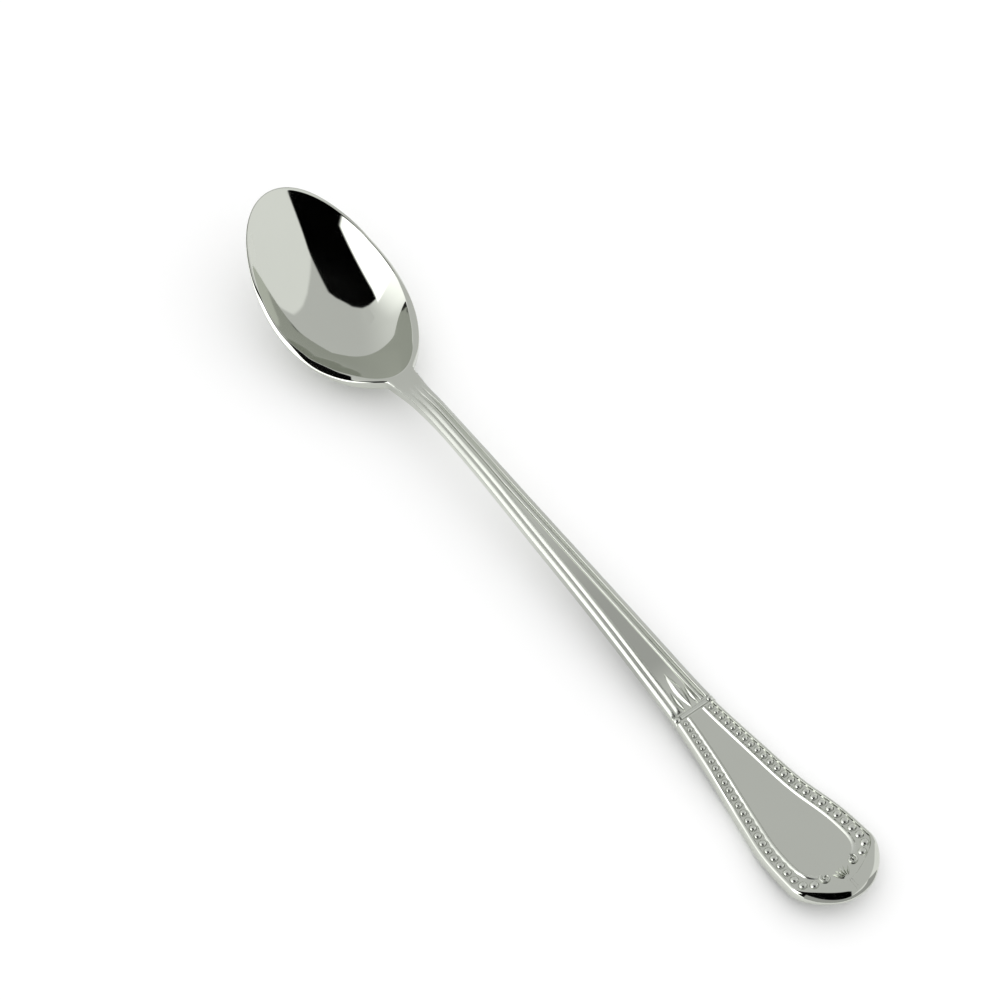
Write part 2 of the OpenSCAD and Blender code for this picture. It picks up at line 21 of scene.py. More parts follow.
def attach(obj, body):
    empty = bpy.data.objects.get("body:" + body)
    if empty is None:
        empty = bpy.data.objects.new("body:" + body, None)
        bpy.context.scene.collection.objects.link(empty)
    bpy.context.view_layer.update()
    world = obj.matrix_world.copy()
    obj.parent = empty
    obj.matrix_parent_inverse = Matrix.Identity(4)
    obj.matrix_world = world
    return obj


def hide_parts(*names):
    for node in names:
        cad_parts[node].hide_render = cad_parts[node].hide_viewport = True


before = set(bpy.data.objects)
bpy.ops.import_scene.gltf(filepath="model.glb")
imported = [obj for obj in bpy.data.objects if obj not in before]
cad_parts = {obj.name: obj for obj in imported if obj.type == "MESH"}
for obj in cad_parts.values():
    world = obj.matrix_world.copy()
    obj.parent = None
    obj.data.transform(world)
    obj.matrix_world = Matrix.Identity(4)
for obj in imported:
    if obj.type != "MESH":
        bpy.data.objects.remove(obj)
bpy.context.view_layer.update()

LOG = logging.getLogger("iced_tea_spoon")
MM = 0.001
TINY = 1e-6
TOWARDS_BOWL = 180.0
BODY = "root"

Array = np.ndarray
Number = float | np.ndarray
Faces = list[tuple[int, ...]]
Table = Sequence[tuple[float, float]]
Surface = Callable[[Array, Array], Array]


# Curves and blends


def mix(low: Number, high: Number, share: Number) -> Number:
    """Returns the value at a share of the way from low to high."""
    return low + (high - low) * share


def ease(share: Number) -> Array:
    """Returns a share held between 0 and 1, eased in and out."""
    held = np.clip(share, 0.0, 1.0)
    return held * held * (3.0 - 2.0 * held)


def unit(vectors: Array) -> Array:
    """Returns vectors made one long, along the last axis."""
    return vectors / np.maximum(np.linalg.norm(vectors, axis=-1, keepdims=True), TINY**2)


def sweep(degrees: float, count: int) -> Array:
    """Returns angles in radians from 0 to a number of degrees, in a count of even steps."""
    return np.radians(degrees * np.arange(count + 1) / count)


def between(count: int) -> Array:
    """Returns a count of even shares between 0 and 1, without the ends."""
    return np.arange(1, count + 1) / (count + 1)


def round_share(angles: Number) -> Number:
    """Returns how far along an egg its edge lies, by angle in degrees round it from its tip."""
    return (1.0 - np.cos(np.radians(angles))) / 2.0


def power_sum(first: Array, second: Array, power: float) -> Array:
    """Returns two lengths summed by a power, which rounds the corner where they cross."""
    return (np.maximum(first, 0.0) ** power + np.maximum(second, 0.0) ** power) ** (1.0 / power)


def stretch(places: Array, at: Array) -> Array:
    """Returns the number of the stretch between a table's places that each place lies in."""
    return np.clip(np.searchsorted(places, at, side="right") - 1, 0, len(places) - 2)


def curve(table: Table, place: Number) -> Array:
    """Follows the smooth curve through a table.

    Args:
        table: Pairs of a place and the value there, in rising order of place.
        place: The places to read the curve at.

    Returns:
        The values at those places.
    """
    places, values = np.array(table, float).T
    gaps = np.diff(places)
    rates = np.diff(values) / gaps
    tangents = np.empty(len(places))
    tangents[0], tangents[-1] = rates[0], rates[-1]
    tangents[1:-1] = (gaps[1:] * rates[:-1] + gaps[:-1] * rates[1:]) / (gaps[1:] + gaps[:-1])
    at = np.asarray(place, float)
    i = stretch(places, at)
    gap = gaps[i]
    s = (at - places[i]) / gap
    return (
        values[i] * (1 + 2 * s) * (1 - s) ** 2
        + gap * tangents[i] * s * (1 - s) ** 2
        + values[i + 1] * s * s * (3 - 2 * s)
        + gap * tangents[i + 1] * s * s * (s - 1)
    )


def steps(table: Table, place: Number) -> Array:
    """Follows a table with an eased step from each value to the next, which never overshoots.

    Args:
        table: Pairs of a place and the value there, in rising order of place.
        place: The places to read the table at.

    Returns:
        The values at those places.
    """
    places, values = np.array(table, float).T
    at = np.asarray(place, float)
    i = stretch(places, at)
    share = (at - places[i]) / (places[i + 1] - places[i])
    return mix(values[i], values[i + 1], ease(share))


def pitched(share: Array, crest: float, soft: float = 0.25) -> Array:
    """Returns the height of a ridge with even flanks and a softly rounded crest.

    Args:
        share: Places across the ridge, from 1 at one foot to -1 at the other.
        crest: The place of the crest.
        soft: How round the crest is: 0 is a sharp edge.

    Returns:
        Heights from 0 at the feet to 1 at the crest.
    """
    away = np.where(share > crest, (share - crest) / (1 - crest), (crest - share) / (1 + crest))
    return (math.hypot(1, soft) - np.hypot(away, soft)) / (math.hypot(1, soft) - soft)


def arc_drop(depth: Array, radius: float) -> Array:
    """Returns how far a rounded edge falls below its face, at a depth inside the edge."""
    inside = np.clip(depth, 0.0, radius)
    return radius - np.sqrt(np.maximum(radius**2 - (radius - inside) ** 2, 0.0))


class Side(Enum):
    """A side of the spoon, seen from the bowl towards the handle."""

    LEFT = 1
    RIGHT = -1

    @property
    def label(self) -> str:
        """Returns the side's name as the frame's nodes write it."""
        return self.name.lower()

    def turned(self, rings: Array) -> Array:
        """Returns rings of the left side's points, brought over to this side."""
        return rings * np.array([1, self.value, 1])


class Slot(Enum):
    """A material slot of the record."""

    SMOOTH = "steel_smooth"
    RELIEF = "steel_relief"


@dataclass
class SpoonForm:
    """The form of the whole forging: its outline from above and its outline from the side.

    All lengths are in millimetres, and x runs from the bowl's tip to the handle's end. A table pairs
    places in millimetres with the values there. A table of shares pairs shares of a stretch with
    shares of a rise or a width, except that hollow_shares goes by places in millimetres.
    """

    length: float = 190.0
    rest_flat: float = 0.12
    bowl_length: float = 45.4
    bowl_width: float = 28.9
    bowl_depth: float = 7.0
    bowl_wall: float = 1.4
    tip_rise: float = 13.8
    mid_rise: float = 2.5
    neck_rise: float = 0.7
    heel_length: float = 1.3
    neck_length: float = 9.0
    shoulder_rise: float = 2.2
    waist_width: float = 4.7
    flare: float = 1.26
    stem_end_width: float = 9.5
    stem_thickness: float = 3.1
    handle_length: float = 50.2
    handle_width: float = 20.3
    blade_thickness: float = 2.6
    crossbar_rise: float = 1.95
    end_rise: float = 3.75
    end_length: float = 9.2
    border_width: float = 1.15
    end_border_width: float = 3.6
    stud_diameter: float = 1.5
    clearance: float = 0.08
    hollow_depth: float = 6.2
    hollow_lean: float = 0.2
    hollow_power: float = 2.42
    hollow_from: float = 0.45
    hollow_to: float = 45.0
    hollow_half_width: float = 13.26
    hollow_blend: float = 0.01
    hollow_reach: float = 1.25
    outside_power: float = 3.3
    corner_power: float = 3.6
    heel_power: float = 3.0
    heel_start: float = 0.55
    crown: float = 0.3
    foot_round: float = 0.08
    foot_corner_share: float = 0.35
    foot_turn_length: float = 14.0
    back_powers: tuple[float, float] = (2.0, 6.0)
    corner_angle: float = 152.0
    end_square: float = 0.25
    egg: tuple[float, float, float] = (0.074, -0.042, 0.023)
    flare_shares: Table = ((0.25, 0.5), (0.55, 0.08))
    stem_width_shares: Table = ((0.23, 0.07), (0.43, 0.25), (0.64, 0.45), (0.83, 0.69))
    handle_width_shares: Table = ((0.2, 0.18), (0.39, 0.39), (0.59, 0.64), (0.78, 0.91))
    rim_place_shares: tuple[float, float, float] = (0.24, 0.485, 0.73)
    tip_fall_share: float = 0.52
    stem_height_shares: Table = ((0.145, 1.0), (0.4, 0.76), (0.7, 0.44))
    bar_fall_shares: tuple[float, float] = (0.24, 0.56)
    low_place_share: float = 0.48
    end_curl_shares: tuple[float, float] = (0.46, 0.345)
    hollow_shares: Table = ((0, 1), (9, 1.035), (23, 1.04), (30, 1), (35, 0.955), (41, 0.93), (46, 0.93))
    edge_widths: Table = (
        (0, 0.2), (11, 0.25), (17, 0.8), (26, 0.9), (34, 1.45), (39, 1.45), (44, 0.6), (60, 0.3)
    )
    edge_bevels: Table = (
        (0, 0), (10, 0), (17, 0.5), (25, 0.5), (31, 0.36), (38.5, 0.4), (43.5, 0), (50, 0)
    )
    edge_depths: Table = ((0, 0.2), (11, 0.2), (17, 0.35), (26, 0.35), (34, 0.2), (44, 0.4), (60, 0.3))
    side_heights: Table = ((0, 1.05), (28, 1.1), (43, 2.3), (50, 2.3), (64, 1.4), (139.8, 1.3))
    samples: int = 80
    egg_turns: int = 260
    edge_steps: int = 120
    edge_overrun: float = 2.0
    slope_step: float = 0.02

    def __post_init__(self) -> None:
        """Works out the places, the tables and the heights that the spoon rests at."""
        self.neck_at = self.bowl_length + self.heel_length
        self.stem_at = self.neck_at + self.neck_length
        self.crossbar_at = self.length - self.handle_length
        self.handle_at = self.crossbar_at + self.stud_diameter / 2 + self.clearance
        self.wide_at = self.length - self.end_length
        self.heel_at = self.bowl_length * self.heel_start
        self.stem_run = self.crossbar_at - self.stem_at
        self.widths = self._width_table()
        self.heights = self._height_table()
        self.thicknesses = [(place, self.stem_thickness) for place in (self.heel_at, self.stem_at)]
        self.thicknesses += [(place, self.blade_thickness) for place in (self.crossbar_at, self.length)]
        shares = np.arange(self.samples + 1) / self.samples
        bowl = shares[1:-1] * self.bowl_length
        self.bowl_low = float((curve(self.heights, bowl) - self.back_depth(bowl, 0 * bowl)).min())
        handle = mix(self.crossbar_at, self.length, shares)
        self.handle_low = float((curve(self.heights, handle) - self.blade_thickness).min())
        self.edge_line = self._edge_line()

    def _width_table(self) -> Table:
        """Works out the half widths of the neck, stem and handle.

        Returns:
            A table of half widths.
        """
        waist, stem_end, widest = self.waist_width / 2, self.stem_end_width / 2, self.handle_width / 2
        run = self.wide_at - self.crossbar_at
        return [
            (self.heel_at, waist * self.flare),
            (self.neck_at, waist * self.flare),
            *(
                (mix(self.neck_at, self.stem_at, at), waist * mix(1, self.flare, left))
                for at, left in self.flare_shares
            ),
            (self.stem_at, waist),
            *(
                (self.stem_at + self.stem_run * at, mix(waist, stem_end, grown))
                for at, grown in self.stem_width_shares
            ),
            (self.crossbar_at, stem_end),
            *(
                (self.crossbar_at + run * at, mix(stem_end, widest, grown))
                for at, grown in self.handle_width_shares
            ),
            (self.wide_at, widest),
            (self.length, widest),
        ]

    def _height_table(self) -> Table:
        """Works out the heights of the rim and of the top of the stem and handle.

        Returns:
            A table of heights.
        """
        rim = self.bowl_depth + self.bowl_wall
        shoulder = rim + self.shoulder_rise
        blade, bar = self.blade_thickness, self.blade_thickness + self.crossbar_rise
        tip_side, middle, neck_side = (self.bowl_length * at for at in self.rim_place_shares)
        bar_side, bar_left = self.bar_fall_shares
        low_at = self.crossbar_at + self.handle_length * self.low_place_share
        curl_at, curled = self.end_curl_shares
        return [
            (0.0, rim + self.tip_rise),
            (tip_side, rim + self.tip_rise * self.tip_fall_share),
            (middle, rim + self.mid_rise),
            (neck_side, rim),
            (self.bowl_length, rim + self.neck_rise),
            (self.stem_at, shoulder),
            *(
                (self.stem_at + self.stem_run * at, mix(bar, shoulder, left))
                for at, left in self.stem_height_shares
            ),
            (self.crossbar_at, bar),
            (self.crossbar_at + self.handle_length * bar_side, blade + self.crossbar_rise * bar_left),
            (low_at, blade),
            (mix(low_at, self.length, curl_at), blade + self.end_rise * curled),
            (self.length, blade + self.end_rise),
        ]

    def _edge_line(self) -> Array:
        """Works out the left edge of the bowl, neck and stem from above.

        Returns:
            A fine line of points.
        """
        bowl = self.bowl_edge(np.linspace(0.0, self.corner_angle, self.egg_turns))
        ends = (float(bowl[-1, 0]), self.stem_at, self.handle_at + self.edge_overrun)
        runs = [np.linspace(*run, self.edge_steps + 1)[1:] for run in zip(ends, ends[1:])]
        return np.concatenate([bowl, *map(self.edge_at, runs)])

    def edge_at(self, x: Array) -> Array:
        """Returns points of the left edge from above, at places along the spoon."""
        return np.stack([x, self.half_width(x)], axis=1)

    def bowl_edge(self, angles: Array) -> Array:
        """Returns points of the bowl's left edge, by angle round the egg from its tip."""
        return self.edge_at(self.bowl_length * round_share(angles))

    def egg_square(self, cosine: Array) -> Array:
        """Works out the egg's outline, which is 1 at its middle.

        Args:
            cosine: Places along the egg, from 1 at its tip to -1 at its other end.

        Returns:
            The square of the half width, which turns negative beyond the ends.
        """
        lean, full, point = self.egg
        swell = 1 + lean * cosine + full * (2 * cosine**2 - 1) + point * cosine * (4 * cosine**2 - 3)
        return (1 - cosine**2) * (swell / (1 - full)) ** 2

    def hollow_cosine(self, x: Array) -> Array:
        """Returns places along the hollow, from 1 at its tip to -1 at its other end."""
        return 1 - 2 * (x - self.hollow_from) / (self.hollow_to - self.hollow_from)

    def hollow_half(self, x: Array) -> Array:
        """Returns the half width of the hollow at places along the bowl."""
        square = self.egg_square(np.clip(self.hollow_cosine(x), -1, 1))
        return self.hollow_across(x) * np.sqrt(np.maximum(square, 0))

    def hollow_across(self, x: Array) -> Array:
        """Returns the half width of an even egg that fits the hollow at places along the bowl."""
        return self.hollow_half_width * steps(self.hollow_shares, np.clip(x, 0, self.hollow_shares[-1][0]))

    def heel_fade(self, x: Array) -> Array:
        """Returns how far the neck's form has grown out of the bowl's."""
        return ease((x - self.heel_at) / (self.bowl_length - self.heel_at))

    def half_width(self, x: Array) -> Array:
        """Works out the half width of the forging from above.

        Args:
            x: Places along the spoon.

        Returns:
            The half widths there.
        """
        x = np.asarray(x, float)
        stem = curve(self.widths, np.maximum(x, self.heel_at))
        cosine = 1 - 2 * np.clip(x / self.bowl_length, 0, 1)
        bowl = self.bowl_width / 2 * np.sqrt(np.maximum(self.egg_square(cosine), 0))
        return np.where(x >= self.neck_at, stem, power_sum(bowl, stem * self.heel_fade(x), self.corner_power))

    def thickness(self, x: Array) -> Array:
        """Returns the metal's thickness along the neck, stem and handle."""
        return curve(self.thicknesses, np.maximum(x, self.heel_at))

    def side_height(self, x: Array) -> Array:
        """Returns the height of the upright side, which is tallest at the neck."""
        return steps(self.side_heights, x)

    def back_depth(self, x: Array, y: Array) -> Array:
        """Works out how deep the back lies below the top edge, without its rounded corner.

        Args:
            x: Places along the spoon.
            y: Places across it.

        Returns:
            The depths there.
        """
        half = self.half_width(x)
        across = np.clip(np.abs(y) / np.maximum(half, TINY), 0, 1)
        power = mix(*self.back_powers, ease((x - self.stem_at) / self.stem_run))
        side = self.side_height(x)
        bar = (self.thickness(x) - side) * (1 - across**power) ** (1 / power)
        full = np.clip((half**2 - y**2) * 4 / self.bowl_width**2, 0, 1)
        shell = (self.bowl_depth + self.bowl_wall - side) * (1 - (1 - full) ** (self.outside_power / 2))
        shell = shell * (1 - ease((x - self.bowl_length + self.heel_length) / (2 * self.heel_length)))
        joined = power_sum(shell, bar * self.heel_fade(x), self.heel_power)
        return side + np.where(x >= self.neck_at, bar, joined)

    def rise(self, x: Array) -> Array:
        """Returns the height of the top edge above the surface that the spoon rests on."""
        share = ease((x - self.neck_at) / (self.crossbar_at - self.neck_at))
        return curve(self.heights, x) - mix(self.bowl_low, self.handle_low, share) - self.rest_flat

    def slope(self, x: Array) -> Array:
        """Returns the slope of the top edge along the spoon."""
        return (self.rise(x + self.slope_step) - self.rise(x - self.slope_step)) / (2 * self.slope_step)

    def hollow_drop(self, x: Array, y: Array) -> Array:
        """Works out how deep the hollow lies below the rim, with the turn into the lip softened.

        Args:
            x: Places along the spoon.
            y: Places across it.

        Returns:
            The depths there.
        """
        cosine = self.hollow_cosine(x)
        full = self.egg_square(np.clip(cosine, -self.hollow_reach, self.hollow_reach))
        full = full - (y / self.hollow_across(x)) ** 2
        half_power = self.hollow_power / 2
        share = np.where(full > 0, 1 - np.clip(1 - full, 0, 1) ** half_power, half_power * full)
        soft = (share + np.sqrt(share**2 + self.hollow_blend**2)) / 2
        faded = 1 - ease((x - self.hollow_to) / self.heel_length)
        return self.hollow_depth * (1 + self.hollow_lean * np.clip(cosine, -1, 1)) * soft * faded

    def edge_distance(self, x: Array, y: Array) -> Array:
        """Works out how far points lie from the forging's edge, seen from above.

        Args:
            x: Places along the spoon.
            y: Places across it.

        Returns:
            The distances.
        """
        points = np.stack([np.ravel(x), np.abs(np.ravel(y))], axis=1)
        best = np.full(len(points), np.inf)
        for start, stride in zip(self.edge_line, np.diff(self.edge_line, axis=0)):
            along = np.clip((points - start) @ stride / (stride @ stride), 0, 1)
            gap = points - start - along[:, None] * stride
            best = np.minimum(best, np.einsum("ij,ij->i", gap, gap))
        return np.sqrt(best).reshape(np.shape(x))

    def edge_width(self, x: Array) -> Array:
        """Returns how far in from the edge the top starts to turn down."""
        return steps(self.edge_widths, x)

    def edge_drop(self, x: Array, y: Array) -> Array:
        """Works out how far the bevelled and rounded edge falls below the top.

        Args:
            x: Places along the spoon.
            y: Places across it.

        Returns:
            The depths there.
        """
        width = self.edge_width(x)
        inside = np.clip(1 - self.edge_distance(x, y) / width, 0, 1)
        rounding = steps(self.edge_depths, x) * (1 - np.sqrt(1 - inside**2))
        return rounding + steps(self.edge_bevels, x) * width * inside

    def crown_drop(self, x: Array, y: Array) -> Array:
        """Works out how far the crowned neck and stem fall away from their middle line.

        Args:
            x: Places along the spoon.
            y: Places across it.

        Returns:
            The depths there.
        """
        grown = ease((x - self.hollow_to) / self.neck_length)
        left = 1 - ease((x - self.stem_at) / self.stem_run)
        across = np.clip(y / np.maximum(self.half_width(x), TINY), -1, 1)
        return self.crown * grown * left * across**2

    def top(self, x: Array, y: Array) -> Array:
        """Returns the height of the upper surface of the bowl, neck and stem."""
        return self.rise(x) - self.hollow_drop(x, y) - self.crown_drop(x, y) - self.edge_drop(x, y)

    def back(self, x: Array, y: Array) -> Array:
        """Works out the underside of the bowl, neck and stem, which is flat where it rests.

        Args:
            x: Places along the spoon.
            y: Places across it.

        Returns:
            The heights there.
        """
        distance = self.edge_distance(x, y)
        inside = np.clip(distance / (self.foot_corner_share * self.border_width), 0, 1)
        corner = (self.thickness(x) - self.side_height(x)) * np.sqrt(np.maximum(1 - (1 - inside) ** 2, 0))
        turned = ease((x - self.handle_at + self.foot_turn_length) / self.foot_turn_length)
        depth = mix(self.back_depth(x, y), self.side_height(x) + corner, turned)
        lift = arc_drop(distance, self.foot_round) * (1 - turned)
        return np.maximum(self.rise(x) - depth + lift, 0.0)

    def in_frame(self, points: Array) -> Array:
        """Returns points in metres in the frame, from millimetres along the spoon."""
        return (np.asarray(points, float) - np.array([self.length / 2, 0.0, 0.0])) * MM


# Meshes


def on_surface(plan: Array, surface: Surface) -> Array:
    """Returns points seen from above, each at the height of a surface there."""
    return np.concatenate([plan, surface(plan[..., 0], plan[..., 1])[..., None]], axis=-1)


def grid_normals(grid: Array, closed: bool) -> Array:
    """Works out the normals of a grid of points by its two directions.

    Args:
        grid: Points in rows, of shape (rows, columns, 3).
        closed: Whether the last column joins the first.

    Returns:
        Unit normals of the same shape, on the side of columns crossed with rows.
    """
    if closed:
        across = (np.roll(grid, -1, axis=1) - np.roll(grid, 1, axis=1)) / 2
    else:
        across = np.gradient(grid, axis=1)
    return unit(np.cross(across, np.gradient(grid, axis=0)))


def ring_faces(first: int, rings: int, each: int) -> Faces:
    """Lists the faces between rings of points that follow one another.

    Args:
        first: The number of the first ring's first point.
        rings: How many rings there are.
        each: How many points each ring has.

    Returns:
        The faces, by corner.
    """
    lows = range(first, first + (rings - 1) * each, each)
    pairs = [(j, (j + 1) % each) for j in range(each)]
    return [(low + j, low + k, low + each + k, low + each + j) for low in lows for j, k in pairs]


@dataclass(frozen=True)
class Seat:
    """How a raised form is let into the metal: how far its top sinks and how deep its feet reach."""

    sink: float = 0.03
    depth: float = 0.2

    def ring(self, plan: Array, face: Array, lift: Array) -> Array:
        """Works out a section of a raised form: an arched top over two feet.

        Args:
            plan: Points across the section, seen from above.
            face: The height of the metal's face at each of them.
            lift: How high the form stands there.

        Returns:
            The section's ring of points.
        """
        feet = [-1, 0]
        top = np.column_stack([plan, face + lift - self.sink])
        return np.concatenate([top, np.column_stack([plan[feet], face[feet] - self.depth])])


@dataclass
class Skin:
    """A mesh under construction: points in millimetres, faces by corner, and a normal per point."""

    points: list[Array] = field(default_factory=list)
    normals: list[Array] = field(default_factory=list)
    faces: Faces = field(default_factory=list)
    count: int = 0

    def add_points(self, points: Array, normals: Array) -> int:
        """Adds points with their normals.

        Args:
            points: The points.
            normals: A normal for each of them.

        Returns:
            The number of the first point.
        """
        first = self.count
        self.points.append(np.reshape(points, (-1, 3)))
        self.normals.append(np.reshape(normals, (-1, 3)))
        self.count += len(self.points[-1])
        return first

    def add_rings(self, rings: Array, normals: Array | None = None) -> tuple[range, range]:
        """Adds rings of points and the faces between them, open at both ends.

        Args:
            rings: Points of shape (rings, points per ring, 3).
            normals: Normals of the same shape, or None to work them out.

        Returns:
            The numbers of the first ring's points and of the last ring's.
        """
        rings = np.asarray(rings, float)
        first = self.add_points(rings, grid_normals(rings, True) if normals is None else normals)
        many, each = rings.shape[:2]
        self.faces += ring_faces(first, many, each)
        last = first + (many - 1) * each
        return range(first, first + each), range(last, last + each)

    def add_fan(self, ring: Sequence[int], point: Array, normal: Array) -> None:
        """Closes a ring by faces that meet in a point.

        Args:
            ring: The numbers of the ring's points.
            point: The point.
            normal: The normal there.
        """
        tip = self.add_points(point, normal)
        self.faces += [(number, ring[(j + 1) % len(ring)], tip) for j, number in enumerate(ring)]

    def add_tube(self, rings: Array, normals: Array | None = None) -> Skin:
        """Adds a closed tube of rings with a flat face at each end.

        Args:
            rings: Points of shape (rings, points per ring, 3).
            normals: Normals of the same shape, or None to work them out.

        Returns:
            The skin itself.
        """
        first, last = self.add_rings(rings, normals)
        self.faces += [tuple(first[::-1]), tuple(last)]
        return self

    def build(self, name: str, form: SpoonForm, material: bpy.types.Material) -> bpy.types.Object:
        """Turns the skin into an object of the spoon, outward side out.

        Args:
            name: The piece's name.
            form: The spoon's form, which places the piece in the frame.
            material: The finish that the piece wears.

        Returns:
            The new object.
        """
        normals = np.concatenate(self.normals)
        mesh = bpy.data.meshes.new(name)
        mesh.from_pydata(form.in_frame(np.concatenate(self.points)).tolist(), [], self.faces)
        mesh.validate(clean_customdata=False)
        mesh.update()
        if signed_volume(mesh) < 0:
            mesh.flip_normals()
        mesh.polygons.foreach_set("use_smooth", np.ones(len(mesh.polygons), bool))
        outward = np.zeros(len(mesh.vertices) * 3)
        mesh.vertices.foreach_get("normal", outward)
        if np.median(np.einsum("ij,ij->i", outward.reshape(-1, 3), normals)) < 0:
            normals = -normals
        mesh.normals_split_custom_set_from_vertices(normals.tolist())
        mesh.materials.append(material)
        return place_object(name, mesh)


def signed_volume(mesh: bpy.types.Mesh) -> float:
    """Works out the volume that a mesh encloses.

    Args:
        mesh: The mesh, which is closed.

    Returns:
        The volume, below zero if the mesh is inside out.
    """
    mesh.calc_loop_triangles()
    corners = np.zeros(len(mesh.loop_triangles) * 3, int)
    mesh.loop_triangles.foreach_get("vertices", corners)
    places = np.zeros(len(mesh.vertices) * 3)
    mesh.vertices.foreach_get("co", places)
    a, b, c = (places.reshape(-1, 3)[corners.reshape(-1, 3)[:, k]] for k in range(3))
    return float(np.einsum("ij,ij->i", a, np.cross(b, c)).sum() / 6.0)


def place_object(name: str, data: bpy.types.ID) -> bpy.types.Object:
    """Makes an object and puts it into the scene.

    Args:
        name: The object's name.
        data: Its mesh or camera.

    Returns:
        The new object.
    """
    made = bpy.data.objects.new(name, data)
    bpy.context.scene.collection.objects.link(made)
    return made


# Finishes


def fill(tree: bpy.types.NodeTree, node: bpy.types.Node, values: dict[str | int, object]) -> None:
    """Sets or links some inputs of a node.

    Args:
        tree: The nodes that it is one of.
        node: The node.
        values: A fixed value or another node's output for each input, by its name or number.
    """
    for name, value in values.items():
        if isinstance(value, bpy.types.NodeSocket):
            tree.links.new(value, node.inputs[name])
        else:
            node.inputs[name].default_value = value


def add_node(
    tree: bpy.types.NodeTree, kind: str, values: dict[str | int, object], **settings: str
) -> bpy.types.Node:
    """Adds a node with its settings and inputs.

    Args:
        tree: The nodes that it becomes one of.
        kind: The node's kind, as Blender names it after the words ShaderNode.
        values: A fixed value or another node's output for each input, by its name or number.
        **settings: The node's own settings.

    Returns:
        The new node.
    """
    node = tree.nodes.new(f"ShaderNode{kind}")
    for name, setting in settings.items():
        setattr(node, name, setting)
    fill(tree, node, values)
    return node


def glowing(name: str, glow: float | None = None) -> bpy.types.Material:
    """Makes a material that glows, evenly or by the brightness kept at each corner of its mesh.

    Args:
        name: The material's name.
        glow: Its brightness, where 1 is white on the floor, or None for the brightness kept.

    Returns:
        The new material.
    """
    made = bpy.data.materials.new(name)
    made.use_nodes = True
    made.cycles.emission_sampling = "NONE"
    tree = made.node_tree
    tree.nodes.remove(tree.nodes["Principled BSDF"])
    if glow is None:
        kept = add_node(tree, "Attribute", {}, attribute_name="glow")
        light = add_node(tree, "Emission", {"Color": kept.outputs["Color"]})
    else:
        light = add_node(tree, "Emission", {"Strength": glow})
    fill(tree, tree.nodes["Material Output"], {"Surface": light.outputs["Emission"]})
    return made


@dataclass(frozen=True)
class SteelFinish:
    """Polished stainless steel: a bright metal with faint polishing lines and slight haze.

    Lengths are in millimetres. The haze is a slow change in roughness, and the lines are fine
    marks that run along the spoon, as a buffing wheel leaves them. The shade is a darker tone that
    follows the haze, or else painted shade on a stretch of the spoon that stands in for a dark
    reflection there: its four places are where it starts, is full, still holds and ends,
    """

    name: str
    slot: Slot
    colour: tuple[float, float, float] = (0.615, 0.635, 0.58)
    roughness: float = 0.03
    haze: float = 0.05
    haze_size: float = 14.0
    haze_detail: float = 4.0
    haze_range: tuple[float, float] = (0.35, 0.7)
    line_size: float = 0.16
    line_stretch: float = 40.0
    line_depth: float = 0.0006
    line_detail: float = 2.0
    shade: float = 0.93
    shade_places: tuple[float, float, float, float] | None = None

    @cache
    def material(self) -> bpy.types.Material:
        """Makes the finish into a material of nodes, the first time that it is asked for.

        Returns:
            The material.
        """
        made = bpy.data.materials.new(self.name)
        made.use_nodes = True
        tree = made.node_tree
        place = add_node(tree, "TexCoord", {}).outputs["Object"]
        haze = self._noise(tree, place, (1 / self.haze_size,) * 3, self.haze_detail)
        low, high = self.haze_range
        rough = {"Value": haze, "From Min": low, "From Max": high}
        rough |= {"To Min": self.roughness, "To Max": self.roughness + self.haze}
        # Where shade places are given, the base colour is darker on that stretch: painted shade standing in
        # for a dark reflection. Otherwise the darker tone follows the haze.
        shaded = tuple(self.shade * part for part in self.colour)
        tone = {
            "A": (*self.colour, 1.0),
            "B": (*shaded, 1.0),
            "Factor": self._shade_amount(tree, place) if self.shade_places else haze,
        }
        fine = 1 / self.line_size
        lines = self._noise(tree, place, (fine / self.line_stretch, fine, fine), self.line_detail)
        bump = {"Strength": 1.0, "Distance": self.line_depth * MM, "Height": lines}
        look = {
            "Metallic": 1.0,
            "Roughness": add_node(tree, "MapRange", rough).outputs["Result"],
            "Base Color": add_node(tree, "Mix", tone, data_type="RGBA").outputs["Result"],
            "Normal": add_node(tree, "Bump", bump).outputs["Normal"],
        }
        fill(tree, tree.nodes["Principled BSDF"], look)
        return made

    def _shade_amount(self, tree: bpy.types.NodeTree, place: bpy.types.NodeSocket) -> bpy.types.NodeSocket:
        """Adds nodes that paint shade on a stretch of the piece, in place of a dark reflection, and fade out
        at both its ends.

        Args:
            tree: The material's nodes.
            place: The output that gives places on the piece, in metres.

        Returns:
            The output that says how much shade there is, from 0 to 1.
        """
        along = add_node(tree, "SeparateXYZ", {"Vector": place}).outputs["X"]
        starts, full, holds, ends = (each * MM for each in self.shade_places)
        fades = {}
        for number, (low, high) in enumerate(((starts, full), (ends, holds))):
            values = {"From Min": low, "From Max": high, "Value": along}
            fade = add_node(tree, "MapRange", values, interpolation_type="SMOOTHSTEP")
            fades[number] = fade.outputs["Result"]
        return add_node(tree, "Math", fades, operation="MULTIPLY").outputs["Value"]

    def _noise(
        self,
        tree: bpy.types.NodeTree,
        place: bpy.types.NodeSocket,
        per_mm: tuple[float, float, float],
        detail: float,
    ) -> bpy.types.NodeSocket:
        """Adds a noise over the piece.

        Args:
            tree: The material's nodes.
            place: The output that gives places on the piece, in metres.
            per_mm: How many cells of noise lie in a millimetre, along X, Y and Z.
            detail: How many finer layers the noise has.

        Returns:
            The noise's output.
        """
        scaling = {"Scale": tuple(each / MM for each in per_mm), "Vector": place}
        scaled = add_node(tree, "Mapping", scaling).outputs["Vector"]
        return add_node(tree, "TexNoise", {"Scale": 1.0, "Detail": detail, "Vector": scaled}).outputs["Fac"]


